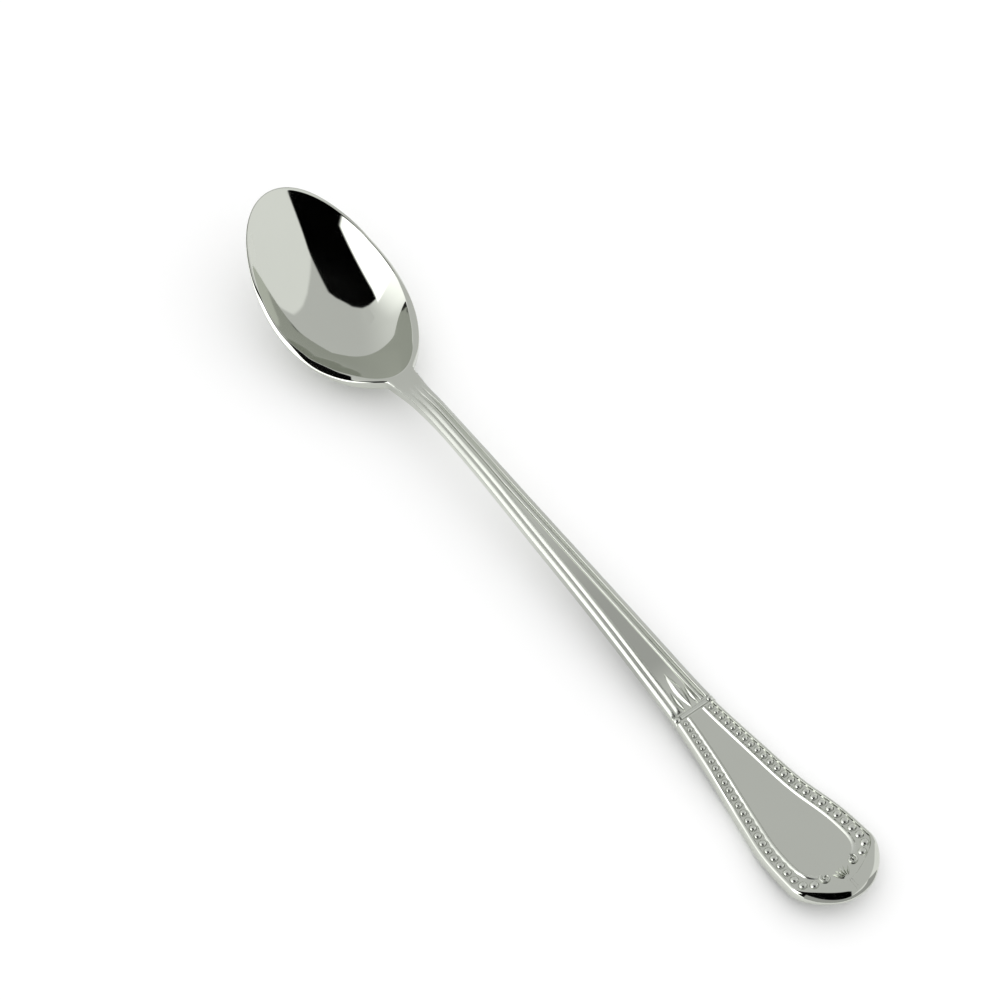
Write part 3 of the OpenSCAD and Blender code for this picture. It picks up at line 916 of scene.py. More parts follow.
SMOOTH_STEEL = SteelFinish("polished_steel", Slot.SMOOTH)
# The stem's finish has painted shade: its base colour is darker on a stretch before the leaves, in place of a
# dark reflection.
STEM_PAINTED_SHADE_STEEL = SteelFinish(
    "stem_painted_shade_steel", Slot.SMOOTH, shade=0.72, shade_places=(-10.0, 20.0, 32.0, 39.0)
)
RELIEF_STEEL = SteelFinish(
    "coined_steel", Slot.RELIEF, colour=(0.60, 0.62, 0.57), roughness=0.2, haze=0.06, haze_size=5.0
)


# The forging


@dataclass
class Part:
    """A part of the spoon, which follows the form of the whole forging."""

    form: SpoonForm

    def make_piece(self, skin: Skin, name: str, node: str, finish: SteelFinish) -> bpy.types.Object:
        """Makes a skin into a piece that wears a finish and stands for a node of the frame.

        Args:
            skin: The piece's points and faces.
            name: The piece's name.
            node: The node that it stands for.
            finish: The finish that it wears.

        Returns:
            The piece.
        """
        piece = skin.build(name, self.form, finish.material())
        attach(piece, BODY)
        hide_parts(node)
        return piece


@dataclass
class Shank(Part):
    """The neck and the long stem, whose sections run without a step from one to the other."""

    edge_steps: int = 10
    core_steps: int = 12
    wall_steps: int = 3
    back_steps: int = 36
    neck_stations: int = 36
    stem_stations: int = 200
    normal_step: float = 0.05

    @property
    def top_count(self) -> int:
        """Returns how many points of a section lie on its top, from edge to edge."""
        return 2 * self.edge_steps + self.core_steps + 1

    def section(self, places: Array) -> Array:
        """Works out sections across the spoon.

        Args:
            places: Places along the spoon.

        Returns:
            Closed rings of points, of shape (places, points per ring, 3).
        """
        form = self.form
        half, radius = form.half_width(places)[:, None], form.edge_width(places)[:, None]
        edge = half - radius * (1 - np.cos(sweep(90, self.edge_steps)[:-1]))
        core = (half - radius) * np.linspace(1, -1, self.core_steps + 1)
        across = np.concatenate([edge, core, -edge[:, ::-1]], axis=1)
        top = self._strip(places, across, form.top)
        back = self._strip(places, -half * np.cos(sweep(180, self.back_steps)), form.back)
        shares = between(self.wall_steps)[:, None]
        near, far = mix(top[:, -1:], back[:, :1], shares), mix(back[:, -1:], top[:, :1], shares)
        return np.concatenate([top, near, back, far], axis=1)

    def _strip(self, places: Array, across: Array, surface: Surface) -> Array:
        """Returns points on a surface, a row across the spoon at each place along it."""
        along = np.repeat(places[:, None], across.shape[1], axis=1)
        return on_surface(np.stack([along, across], axis=2), surface)

    def section_normals(self, places: Array) -> Array:
        """Works out the normals of sections from the sections a little before and after.

        Args:
            places: Places along the spoon.

        Returns:
            Unit normals, of the same shape as the sections.
        """
        rings = self.section(places)
        along = self.section(places + self.normal_step) - self.section(places - self.normal_step)
        return unit(np.cross(np.roll(rings, -1, axis=1) - np.roll(rings, 1, axis=1), along))

    def build(self) -> list[bpy.types.Object]:
        """Builds and dresses the neck and the stem.

        Returns:
            The two pieces.
        """
        form = self.form
        made = []
        for name, node, start, end, stations, finish in (
            ("neck_bar", "neck", form.neck_at, form.stem_at, self.neck_stations, SMOOTH_STEEL),
            # The stem wears the finish with painted shade before the leaves.
            ("stem_bar", "stem", form.stem_at, form.handle_at, self.stem_stations, STEM_PAINTED_SHADE_STEEL),
        ):
            places = np.linspace(start, end, stations + 1)
            skin = Skin().add_tube(self.section(places), self.section_normals(places))
            made.append(self.make_piece(skin, name, node, finish))
        return made


@dataclass
class Bowl(Part):
    """The egg-shaped bowl with its rounded lip and the heel that meets the neck."""

    shank: Shank
    side_turns: int = 84
    corner_steps: int = 8
    hollow_rings: int = 56
    lip_rings: int = 6
    lip_limit: float = 0.96
    edge_rings: int = 24
    wall_rings: int = 3
    back_rings: int = 60
    least_normal: float = 1e-9

    def __post_init__(self) -> None:
        """Works out the middle, the outline and, point for point, the hollow's edge."""
        form = self.form
        cut_y = self.shank.section(np.array([form.neck_at]))[0, : (self.shank.top_count + 1) // 2, 1]
        side = np.linspace(0.0, form.corner_angle, self.side_turns, endpoint=False)
        corner = np.linspace(0, 1, self.corner_steps, endpoint=False)
        corner_x = mix(form.bowl_length * round_share(form.corner_angle), form.neck_at, corner)
        cut = np.stack([np.full(len(cut_y), form.neck_at), cut_y], axis=1)
        # One half of the turn that is left goes to the corner, and the other half to the cut.
        end_share = np.concatenate([corner / 2, 0.5 + 0.5 * (1 - cut_y / cut_y[0])])
        angles = np.concatenate([side, form.corner_angle + (180 - form.corner_angle) * end_share])
        hollow_x = mix(form.hollow_from, form.hollow_to, round_share(angles))
        outline = np.concatenate([form.bowl_edge(side), form.edge_at(corner_x), cut])
        hollow = np.stack([hollow_x, form.hollow_half(hollow_x)], axis=1)
        self.outline = np.concatenate([outline, outline[-2:0:-1] * [1, -1]])
        self.hollow = np.concatenate([hollow, hollow[-2:0:-1] * [1, -1]])
        self.centre = np.array([form.bowl_length / 2, 0.0])

    def _top(self) -> Array:
        """Works out the hollow, the lip and its rounded edge.

        Returns:
            Rings of points, from the middle of the hollow outwards.
        """
        width = np.linalg.norm(self.outline - self.hollow, axis=1)
        turned = np.minimum(self.form.edge_width(self.outline[:, 0]), width * self.lip_limit)
        plan = [mix(self.centre, self.hollow, share) for share in np.sin(sweep(90, self.hollow_rings)[1:])]
        shares = [(1 - turned / width) * share for share in np.linspace(0, 1, self.lip_rings + 1)[1:]]
        shares += [1 - turned * (1 - rise) / width for rise in np.sin(sweep(90, self.edge_rings)[1:])]
        plan += [mix(self.hollow, self.outline, share[:, None]) for share in shares]
        return on_surface(np.stack(plan), self.form.top)

    def _back(self) -> Array:
        """Works out the underside with its rounded edge.

        Returns:
            Rings of points, from the edge to the middle of the underside.
        """
        away = np.linalg.norm(self.outline - self.centre, axis=1)
        turns = np.sin(sweep(90, self.edge_rings)[::-1])
        shares = [1 - self.form.foot_round * (1 - turn) / away for turn in turns]
        inner = shares[-1]
        shares += [inner * share for share in np.sin(sweep(90, self.back_rings)[-2:0:-1])]
        plan = [mix(self.centre, self.outline, share[:, None]) for share in shares]
        return on_surface(np.stack(plan), self.form.back)

    def _normals(self, rings: Array, top_count: int) -> Array:
        """Works out normals, which face as the neck's do where the neck starts.

        Args:
            rings: The bowl's rings of points.
            top_count: How many of them lie on its top.

        Returns:
            Normals of the same shape.
        """
        form = self.form
        normals = grid_normals(rings, True)
        # A normal made only of zeros has no direction, so no part of one is left at zero.
        normals = np.where(normals == 0, self.least_normal, normals)
        joined = self.outline[:, 0] > form.neck_at - TINY
        joined &= np.abs(self.outline[:, 1]) < form.half_width(form.neck_at) - TINY
        edge, foot = top_count - 1, top_count + self.wall_rings
        for row, before in ((edge, edge - 1), (foot, foot)):
            across = np.roll(rings[row], -1, axis=0) - np.roll(rings[row], 1, axis=0)
            normals[row][joined] = unit(np.cross(across, rings[before + 1] - rings[before]))[joined]
        return normals

    def build(self) -> list[bpy.types.Object]:
        """Builds and dresses the bowl.

        Returns:
            The bowl alone.
        """
        form = self.form
        top, back = self._top(), self._back()
        wall = [mix(top[-1], back[0], share) for share in between(self.wall_rings)]
        rings = np.concatenate([top, np.stack(wall), back])
        normals = self._normals(rings, len(top))
        up = unit(np.array([-float(form.slope(self.centre[0])), 0.0, 1.0]))
        up *= np.sign(normals[0, 0] @ up)
        skin = Skin()
        first, last = skin.add_rings(rings, normals)
        skin.add_fan(first[::-1], on_surface(self.centre[None], form.top), up)
        skin.add_fan(last, on_surface(self.centre[None], form.back), -up)
        return [self.make_piece(skin, "bowl_shell", "bowl", SMOOTH_STEEL)]


@dataclass
class StemThreads(Part):
    """The two raised threads along each side of the stem, which grow out of the neck."""

    width: float = 1.15
    height: float = 0.45
    pitch: float = 1.27
    margin: float = 0.06
    crest: float = -0.55
    start: float = 0.3
    grow_share: float = 1.4
    end_share: float = 0.7
    end_gap: float = 0.001
    stations: int = 220
    arch_steps: int = 16
    seat: Seat = Seat(0.04, 0.45)

    def build(self) -> list[bpy.types.Object]:
        """Builds and dresses all four threads.

        Returns:
            The threads.
        """
        made = []
        for side in Side:
            for row, label in enumerate(("edge", "inner")):
                name = f"{label}_thread_{side.label}"
                skin = Skin().add_tube(side.turned(self._rings(row)))
                made.append(self.make_piece(skin, name, f"stem_{name}", RELIEF_STEEL))
        return made

    def _rings(self, row: int) -> Array:
        """Works out one thread of the left side.

        Args:
            row: The thread's number from the edge inwards, 0 being the outer one.

        Returns:
            Its rings of points.
        """
        form = self.form
        end = form.crossbar_at - form.stud_diameter / 2 - form.clearance
        places = np.linspace(form.neck_at + self.start, end, self.stations + 1)
        half = form.half_width(places)
        scale = np.clip((half - self.margin) / (2 * self.pitch), 0.0, 1.0)
        middle = half - self.margin - (self.width / 2 + row * self.pitch) * scale
        grown = ease((places - form.neck_at) / (self.grow_share * form.neck_length))
        ended = np.sqrt(np.clip((end + self.end_gap - places) / self.width, 0, 1))
        height = self.height * grown * mix(self.end_share, 1.0, ended)
        face = form.rise(places) - form.crown_drop(places, middle)
        share = np.linspace(1, -1, self.arch_steps + 1)
        arch = pitched(share, self.crest)
        even = np.ones(len(share))
        rings = []
        for k, x in enumerate(places):
            plan = np.column_stack([x * even, middle[k] + share * self.width / 2 * scale[k]])
            rings.append(self.seat.ring(plan, face[k] * even, height[k] * arch))
        return np.array(rings)


@dataclass
class Leaf:
    """A pointed leaf or lobe of raised metal with a soft crest.

    The angle is the way that it points, in degrees from the way to the handle's end.
    """

    form: SpoonForm
    root: tuple[float, float]
    angle: float
    length: float
    width: float
    height: float
    stations: int = 28
    arch_steps: int = 16
    full_at: float = 0.45
    point_share: float = 0.1
    seat: Seat = Seat()

    def add_to(self, skin: Skin) -> None:
        """Adds the leaf to a skin.

        Args:
            skin: The mesh under construction.
        """
        turn = math.radians(self.angle)
        ahead = np.array([math.cos(turn), math.sin(turn)])
        across = np.array([-math.sin(turn), math.cos(turn)])
        share = np.linspace(1, -1, self.arch_steps + 1)
        crest = pitched(share, 0.0)
        rings = []
        for s in np.linspace(0, 1, self.stations + 1):
            away = (self.full_at - s) / (self.full_at if s < self.full_at else 1 - self.full_at)
            size = mix(self.point_share, 1.0, max(math.cos(math.pi / 2 * away), 0.0))
            centre = np.array(self.root) + ahead * self.length * s
            plan = centre + np.outer(share, across * self.width / 2 * size)
            lift = self.height * math.sqrt(size) * crest
            rings.append(self.seat.ring(plan, self.form.rise(plan[:, 0]), lift))
        skin.add_tube(np.array(rings))


@dataclass
class Dome:
    """A bead or stud: a low dome on the top face, tilted with it. Its crown is a share of its radius."""

    form: SpoonForm
    x: float
    y: float
    diameter: float
    crown: float = 0.62
    around: int = 32
    up: int = 9
    depth: float = 0.12

    def add_to(self, skin: Skin) -> None:
        """Adds the dome to a skin.

        Args:
            skin: The mesh under construction.
        """
        radius = self.diameter / 2
        ball = radius * (1 + self.crown**2) / (2 * self.crown)
        widest = math.asin(radius / ball)
        tilt = np.array(Matrix.Rotation(-math.atan(float(self.form.slope(self.x))), 3, "Y"))
        turn = sweep(360, self.around)[:-1]
        outward = np.column_stack([np.cos(turn), np.sin(turn), 0 * turn]) @ tilt.T
        upward = tilt @ np.array([0.0, 0.0, 1.0])
        place = np.array([self.x, self.y, float(self.form.rise(self.x))])
        rows, facing = [place + radius * outward - self.depth * upward], [outward]
        for k in range(self.up):
            polar = widest * (1 - k / self.up)
            z = radius * self.crown - ball + ball * math.cos(polar)
            lean = math.pi / 2 if z < 0 else polar
            rows.append(place + ball * math.sin(polar) * outward + z * upward)
            facing.append(math.sin(lean) * outward + math.cos(lean) * upward)
        first, last = skin.add_rings(np.array(rows), np.array(facing))
        skin.add_fan(last, place + radius * self.crown * upward, upward)
        skin.faces.append(tuple(first[::-1]))


@dataclass
class Crossbar(Part):
    """The raised bar across the stem's end, its two studs and the spray of three leaves."""

    width: float = 1.0
    height: float = 0.34
    arch_power: float = 2.2
    bar_steps: int = 16
    leaf_length: float = 8.6
    leaf_width: float = 1.9
    leaf_height: float = 0.55
    side_leaf: float = 0.55
    seat: Seat = Seat()

    def build(self) -> list[bpy.types.Object]:
        """Builds and dresses the bar, the studs and the leaves.

        Returns:
            The three pieces.
        """
        form = self.form
        stud_y = float(form.half_width(form.crossbar_at)) - form.stud_diameter / 2
        bar = Skin().add_tube(self._bar(stud_y - form.stud_diameter / 2 - form.clearance))
        studs, leaves = Skin(), Skin()
        for side in Side:
            Dome(form, form.crossbar_at, side.value * stud_y, form.stud_diameter).add_to(studs)
        side_y = self.leaf_width * (1 + self.side_leaf) / 2 + form.clearance
        for y, size in ((0.0, 1.0), *((side.value * side_y, self.side_leaf) for side in Side)):
            root = (form.crossbar_at - self.width / 2 - form.clearance, y)
            length, width = self.leaf_length * size, self.leaf_width * size
            Leaf(form, root, TOWARDS_BOWL, length, width, self.leaf_height).add_to(leaves)
        return [
            self.make_piece(bar, "cross_bar", "crossbar", RELIEF_STEEL),
            self.make_piece(studs, "cross_bar_studs", "crossbar_studs", RELIEF_STEEL),
            self.make_piece(leaves, "leaf_spray_relief", "leaf_spray", RELIEF_STEEL),
        ]

    def _bar(self, half: float) -> Array:
        """Works out the bar.

        Args:
            half: Half the bar's length, across the spoon.

        Returns:
            Its rings of points.
        """
        share = np.linspace(1, -1, self.bar_steps + 1)
        x = self.form.crossbar_at - share * self.width / 2
        lift = self.height * np.sqrt(np.maximum(1 - np.abs(share) ** self.arch_power, 0))
        return np.array(
            [
                self.seat.ring(np.column_stack([x, np.full(len(x), y)]), self.form.rise(x), lift)
                for y in np.linspace(-half, half, self.bar_steps + 1)
            ]
        )


@dataclass
class HandleOutline:
    """The handle's left edge from above, from the crossbar to the end, with its inward directions."""

    form: SpoonForm
    side_steps: int = 130
    end_steps: int = 90
    end_half_share: float = 0.25

    def __post_init__(self) -> None:
        """Works out the edge, the directions square to it and the border's width."""
        form = self.form
        side_x = np.linspace(form.handle_at, form.wide_at, self.side_steps, endpoint=False)
        turn = sweep(90, self.end_steps)
        end_x = form.wide_at + form.end_length * np.sin(turn)
        square = 1 - form.end_square * np.sin(turn) ** 2 * np.cos(turn)
        end_y = form.handle_width / 2 * np.cos(turn) * square
        self.edge = np.concatenate([form.edge_at(side_x), np.stack([end_x, end_y], axis=1)])
        step = np.gradient(self.edge, axis=0)
        self.inward = unit(np.stack([step[:, 1], -step[:, 0]], axis=1))
        self.inward[0], self.inward[-1] = (0.0, -1.0), (-1.0, 0.0)
        share = ease((self.edge[:, 0] - form.wide_at) / form.end_length)
        self.border = mix(form.border_width, form.end_border_width, share)

    @property
    def end_half(self) -> float:
        """Returns the least half width of the blade, where its two sides meet at the handle's end."""
        return self.form.border_width * self.end_half_share

    def inset(self, depths: Array) -> Array:
        """Returns the edge moved inwards, by a depth for each of its points."""
        return self.edge + self.inward * depths[:, None]


@dataclass
class Blade(Part):
    """The handle's flat blade inside its border, with the plain panel."""

    outline: HandleOutline
    across_steps: int = 8

    def build(self) -> list[bpy.types.Object]:
        """Builds and dresses the blade.

        Returns:
            The blade alone.
        """
        form = self.form
        x, y = self.outline.inset(self.outline.border).T
        half = np.maximum(y, self.outline.end_half)
        top = form.rise(x)
        low = np.maximum(top - form.blade_thickness, 0.0)
        slope = form.slope(x)
        shares = np.linspace(1, -1, self.across_steps + 1)
        even = np.ones(len(shares))
        rings, normals = [], []
        for height, tilt, across, facing in (
            (top, slope, shares, 1),
            (low, np.where(low > 0, slope, 0.0), -shares, -1),
        ):
            rows = [np.outer(x, even), np.outer(half, across), np.outer(height, even)]
            rings.append(np.stack(rows, axis=2))
            upward = facing * unit(np.stack([-tilt, 0 * tilt, 1 + 0 * tilt], axis=1))
            normals.append(np.repeat(upward[:, None], len(shares), axis=1))
        skin = Skin().add_tube(np.concatenate(rings, axis=1), np.concatenate(normals, axis=1))
        return [self.make_piece(skin, "handle_panel", "handle_blade", SMOOTH_STEEL)]


@dataclass
class Border(Part):
    """The smooth rounded rim round the blade, wide at the handle's end."""

    outline: HandleOutline
    height: float = 0.45
    crest_share: float = 0.78
    round_power: float = 2.1
    end_from: float = 0.7
    end_crest_share: float = 0.95
    end_round_power: float = 2.0
    end_bevel: float = 0.1
    arc_steps: int = 16

    def build(self) -> list[bpy.types.Object]:
        """Builds and dresses the border.

        Returns:
            The border alone.
        """
        outline = self.outline
        rows = []
        for k, (edge, inward, width) in enumerate(zip(outline.edge, outline.inward, outline.border)):
            depths, lifts = self._section(edge[0], width)
            x, y = (edge + np.outer(depths * width, inward)).T
            held = (depths == 1) | (k == len(outline.edge) - 1)
            y = np.where(held, np.maximum(y, outline.end_half), y)
            rows.append(np.column_stack([x, y, np.maximum(self.form.rise(x) + lifts, 0.0)]))
        left = np.array(rows)
        rings = np.concatenate([left, Side.RIGHT.turned(left[::-1])])
        skin = Skin().add_tube(rings, self._normals(rings))
        return [self.make_piece(skin, "handle_rim", "handle_border", SMOOTH_STEEL)]

    def _section(self, x: float, width: float) -> tuple[Array, Array]:
        """Works out the border's section, which is round at the sides and bevelled at the end.

        Args:
            x: The place along the spoon.
            width: The border's width there.

        Returns:
            Shares of the width, from the outer edge inwards, and heights above the top face.
        """
        form = self.form
        half = form.blade_thickness / 2
        ended = float(ease((x - form.wide_at) / (self.end_from * form.end_length)))
        crest = mix(self.crest_share, self.end_crest_share, ended)
        power = mix(self.round_power, self.end_round_power, ended)
        turn = sweep(90, self.arc_steps)
        low_depth = form.foot_corner_share * (1 - np.cos(turn))
        low_lift = -half - half * np.sin(turn)
        out_share = np.cos(turn) ** (2 / power)
        bevel = ended * self.end_bevel * crest * width * out_share
        up_lift = -half + (half + self.height - bevel) * np.sin(turn) ** (2 / power)
        fall = np.arange(1, self.arc_steps + 1) / self.arc_steps
        in_lift = self.height * (1 + np.cos(math.pi * fall)) / 2
        depths = [[1.0], low_depth[::-1], crest * (1 - out_share[1:]), mix(crest, 1.0, fall)]
        lifts = [[-2 * half], low_lift[::-1], up_lift[1:], in_lift]
        return np.concatenate(depths), np.concatenate(lifts)

    def _normals(self, rings: Array) -> Array:
        """Works out the border's normals, with its inner edges facing as the blade does.

        Args:
            rings: The border's rings.

        Returns:
            Unit normals of the same shape.
        """
        normals = grid_normals(rings, False)
        slope = self.form.slope(rings[:, -1, 0])
        up = unit(np.stack([-slope, 0 * slope, 1 + 0 * slope], axis=1))
        up *= np.sign(np.einsum("ij,ij->i", normals[:, -2], up))[:, None]
        normals[:, -1], normals[:, 0] = up, -up
        return normals


@dataclass
class TipOrnament(Part):
    """The fan shell at the handle's end, between two scrolls."""

    shell_length: float = 3.2
    shell_height: float = 0.6
    shell_lobes: int = 5
    shell_spread: float = 34.0
    shell_core: float = 0.3
    shell_full_share: float = 0.45
    scroll_radius: float = 1.4
    scroll_wire: float = 0.6
    scroll_height: float = 0.45
    scroll_share: float = 0.95
    scroll_turns: float = 1.35
    scroll_start: float = 162.0
    eye_shares: tuple[float, float, float] = (0.75, 0.32, 0.8)
    scroll_stations: int = 90
    arch_steps: int = 12
    seat: Seat = Seat()

    @property
    def root(self) -> float:
        """Returns the place of the shell's root, at the border."""
        return self.form.length - self.form.end_border_width - self.form.clearance

    @property
    def scroll_place(self) -> tuple[float, float]:
        """Returns the middle of the left scroll."""
        beside = self.shell_length * math.sin(math.radians(self.shell_spread)) + self.scroll_radius
        return self.root - self.shell_length * self.scroll_share, beside + self.form.clearance

    def build(self) -> list[bpy.types.Object]:
        """Builds and dresses the shell and the scrolls.

        Returns:
            The shell and the pair of scrolls.
        """
        shell, scrolls = Skin(), Skin()
        self._add_shell(shell)
        for side in Side:
            scrolls.add_tube(side.turned(self._scroll()))
        return [
            self.make_piece(shell, "fan_shell", "tip_shell", RELIEF_STEEL),
            self.make_piece(scrolls, "end_scrolls", "tip_scrolls", RELIEF_STEEL),
        ]

    def _add_shell(self, skin: Skin) -> None:
        """Adds the lobes of the shell.

        Args:
            skin: The mesh under construction.
        """
        full_at = self.shell_length * mix(self.shell_core, 1.0, self.shell_full_share)
        half_step = math.radians(self.shell_spread / (self.shell_lobes - 1))
        width = 2 * full_at * math.sin(half_step) - self.form.clearance
        start = self.shell_length * self.shell_core
        for turn in np.linspace(-self.shell_spread, self.shell_spread, self.shell_lobes):
            angle = TOWARDS_BOWL + float(turn)
            ahead = math.radians(angle)
            root = (self.root + start * math.cos(ahead), start * math.sin(ahead))
            length = self.shell_length - start
            Leaf(self.form, root, angle, length, width, self.shell_height).add_to(skin)

    def _scroll(self) -> Array:
        """Works out the left scroll: a rounded coil that winds in to its eye.

        Returns:
            Its rings of points.
        """
        share = np.linspace(1, -1, self.arch_steps + 1)
        arch = self.scroll_height * np.sqrt(np.maximum(1 - share**2, 0))
        eye_wire, eye_radius, eye_height = self.eye_shares
        rings = []
        for s in np.linspace(0, 1, self.scroll_stations):
            angle = math.radians(self.scroll_start) - 2 * math.pi * self.scroll_turns * s
            wire = self.scroll_wire * mix(1.0, eye_wire, s)
            radius = mix(self.scroll_radius - self.scroll_wire / 2, self.scroll_wire * eye_radius, s)
            ray = np.array([math.cos(angle), math.sin(angle)])
            plan = np.array(self.scroll_place) + np.outer(radius + share * wire / 2, ray)
            rings.append(self.seat.ring(plan, self.form.rise(plan[:, 0]), arch * mix(1.0, eye_height, s)))
        return np.array(rings)


@dataclass
class BeadRows(Part):
    """The rows of beads beside the border, which grow from the crossbar to the handle's end."""

    outline: HandleOutline
    ornament: TipOrnament
    first: float = 1.15
    last: float = 1.9
    gap: float = 0.24

    def __post_init__(self) -> None:
        """Works out the line that the beads sit on and how many fit before the scroll."""
        form = self.form
        x = self.outline.edge[:, 0]
        grown = np.clip((x - form.handle_at) / (form.wide_at - form.handle_at), 0, 1)
        self.sizes = mix(self.first, self.last, grown)
        self.depths = self.outline.border + form.clearance + self.sizes / 2
        self.line = self.outline.inset(self.depths)
        self.runs = run_lengths(self.line)
        stop = self.ornament.scroll_radius + form.clearance + self.last / 2
        near = np.linalg.norm(self.line - self.ornament.scroll_place, axis=1) <= stop
        reach = int(np.argmax(near)) - 1 if near.any() else len(near) - 1
        self.length = self.last / 2 + float(self.runs[reach])
        self.mean_pitch = (self.first + self.last) / 2 + self.gap
        self.count = int(self.length / self.mean_pitch)

    def places(self) -> list[tuple[float, float, float]]:
        """Works out where the beads sit.

        Returns:
            The place and the diameter of each bead of the left row.
        """
        found = []
        fit = self.length / self.count / self.mean_pitch
        for i in range(self.count):
            t = (i + 0.5) / self.count
            run = t * (self.first + self.gap) + t * t * (self.last - self.first) / 2
            run *= self.length / self.mean_pitch
            x, y = (float(np.interp(run, self.runs, self.line[:, k])) for k in range(2))
            size = mix(self.first, self.last, t)
            found.append((x, y, min((size + self.gap) * fit - self.gap, size)))
        return found

    def build(self) -> list[bpy.types.Object]:
        """Builds and dresses both rows.

        Returns:
            The two rows.
        """
        made = []
        for side in Side:
            skin = Skin()
            for x, y, size in self.places():
                Dome(self.form, x, side.value * y, size).add_to(skin)
            name, node = f"beads_{side.label}", f"bead_row_{side.label}"
            made.append(self.make_piece(skin, name, node, RELIEF_STEEL))
        return made


def run_lengths(line: Array) -> Array:
    """Returns how far along a line each of its points lies."""
    return np.concatenate([[0.0], np.cumsum(np.linalg.norm(np.diff(line, axis=0), axis=1))])


@dataclass
class PanelRidges(Part):
    """The fine ridge between the beads and the plain panel, on each side."""

    beads: BeadRows
    ornament: TipOrnament
    width: float = 0.95
    height: float = 0.36
    panel_end: float = 7.0
    corner_power: float = 3.0
    corner_steps: int = 60
    stations: int = 200
    fade_at: float = 10.5
    fade_length: float = 3.0
    end_share: float = 0.35
    arch_steps: int = 14
    seat: Seat = Seat()

    def line(self) -> Array:
        """Works out the left ridge's line from above.

        Returns:
            Points at even distances.
        """
        form, outline = self.form, self.beads.outline
        depths = self.beads.depths + self.beads.sizes / 2 + form.clearance + self.width / 2
        turn_at = form.wide_at - form.end_length / 2
        side = outline.inset(depths)[: int(np.searchsorted(outline.edge[:, 0], turn_at))]
        x, y = side[-1]
        last = math.acos((self.ornament.scroll_place[1] / y) ** (self.corner_power / 2))
        angles = last * np.arange(1, self.corner_steps + 1) / self.corner_steps
        ahead, across = (part(angles) ** (2 / self.corner_power) for part in (np.sin, np.cos))
        corner = np.stack([x + (form.length - self.panel_end - x) * ahead, y * across], axis=1)
        line = np.concatenate([side, corner])
        runs = run_lengths(line)
        even = np.linspace(0, runs[-1], self.stations)
        return np.stack([np.interp(even, runs, line[:, k]) for k in range(2)], axis=1)

    def build(self) -> list[bpy.types.Object]:
        """Builds and dresses both ridges.

        Returns:
            The two ridges.
        """
        form = self.form
        line = self.line()
        ahead = unit(np.gradient(line, axis=0))
        across = np.stack([-ahead[:, 1], ahead[:, 0]], axis=1)
        fades = ease((line[:, 0] - form.length + self.fade_at) / self.fade_length)
        share = np.linspace(1, -1, self.arch_steps + 1)
        arch = pitched(share, 0.0)
        rings = []
        for point, square, fade in zip(line, across, fades):
            plan = point + np.outer(share, square) * self.width / 2
            lift = self.height * mix(1.0, self.end_share, fade) * arch
            rings.append(self.seat.ring(plan, form.rise(plan[:, 0]), lift))
        made = []
        for side in Side:
            skin = Skin().add_tube(side.turned(np.array(rings)))
            name, node = f"ridge_{side.label}", f"panel_ridge_{side.label}"
            made.append(self.make_piece(skin, name, node, RELIEF_STEEL))
        return made


# The studio


def add_stage(
    name: str, points: Array, faces: Faces, material: bpy.types.Material, hidden: bool = True
) -> bpy.types.Object:
    """Adds a piece of the stage.

    Args:
        name: The piece's name.
        points: Its corners, in metres in the frame.
        faces: Its faces, by corner.
        material: What it is made of.
        hidden: Whether only reflections see it.

    Returns:
        The new object.
    """
    mesh = bpy.data.meshes.new(name)
    mesh.from_pydata(np.reshape(points, (-1, 3)).tolist(), [], faces)
    mesh.materials.append(material)
    made = place_object(name, mesh)
    made.visible_camera = made.visible_diffuse = made.visible_shadow = not hidden
    return made


@dataclass(frozen=True)
class Patch:
    """A part of the room that the steel reflects, as it is seen from the spoon.

    Corners are in degrees from straight overhead, along X and along Y, in turn round the patch.
    Each side cuts the patch off along its whole line. Glow is the patch's brightness, where 1 is
    white on the floor, and soft is the width of its blurred edge in degrees.
    """

    corners: tuple[tuple[float, float], ...]
    glow: float
    soft: float

    def cover(self, place: Array) -> Array:
        """Works out how much of the patch covers places in the room.

        Args:
            place: Places in degrees from overhead, of shape (places, 2).

        Returns:
            The cover at each place from 0 to 1, which falls off softly over the patch's edge.
        """
        corners = np.array(self.corners)
        middle = corners.mean(axis=0)
        inside = np.full(len(place), np.inf)
        for start, end in zip(corners, np.roll(corners, -1, axis=0)):
            step = end - start
            square = np.array([-step[1], step[0]]) / np.linalg.norm(step)
            square *= np.sign((middle - start) @ square)
            inside = np.minimum(inside, (place - start) @ square)
        return ease(inside / self.soft + 0.5)


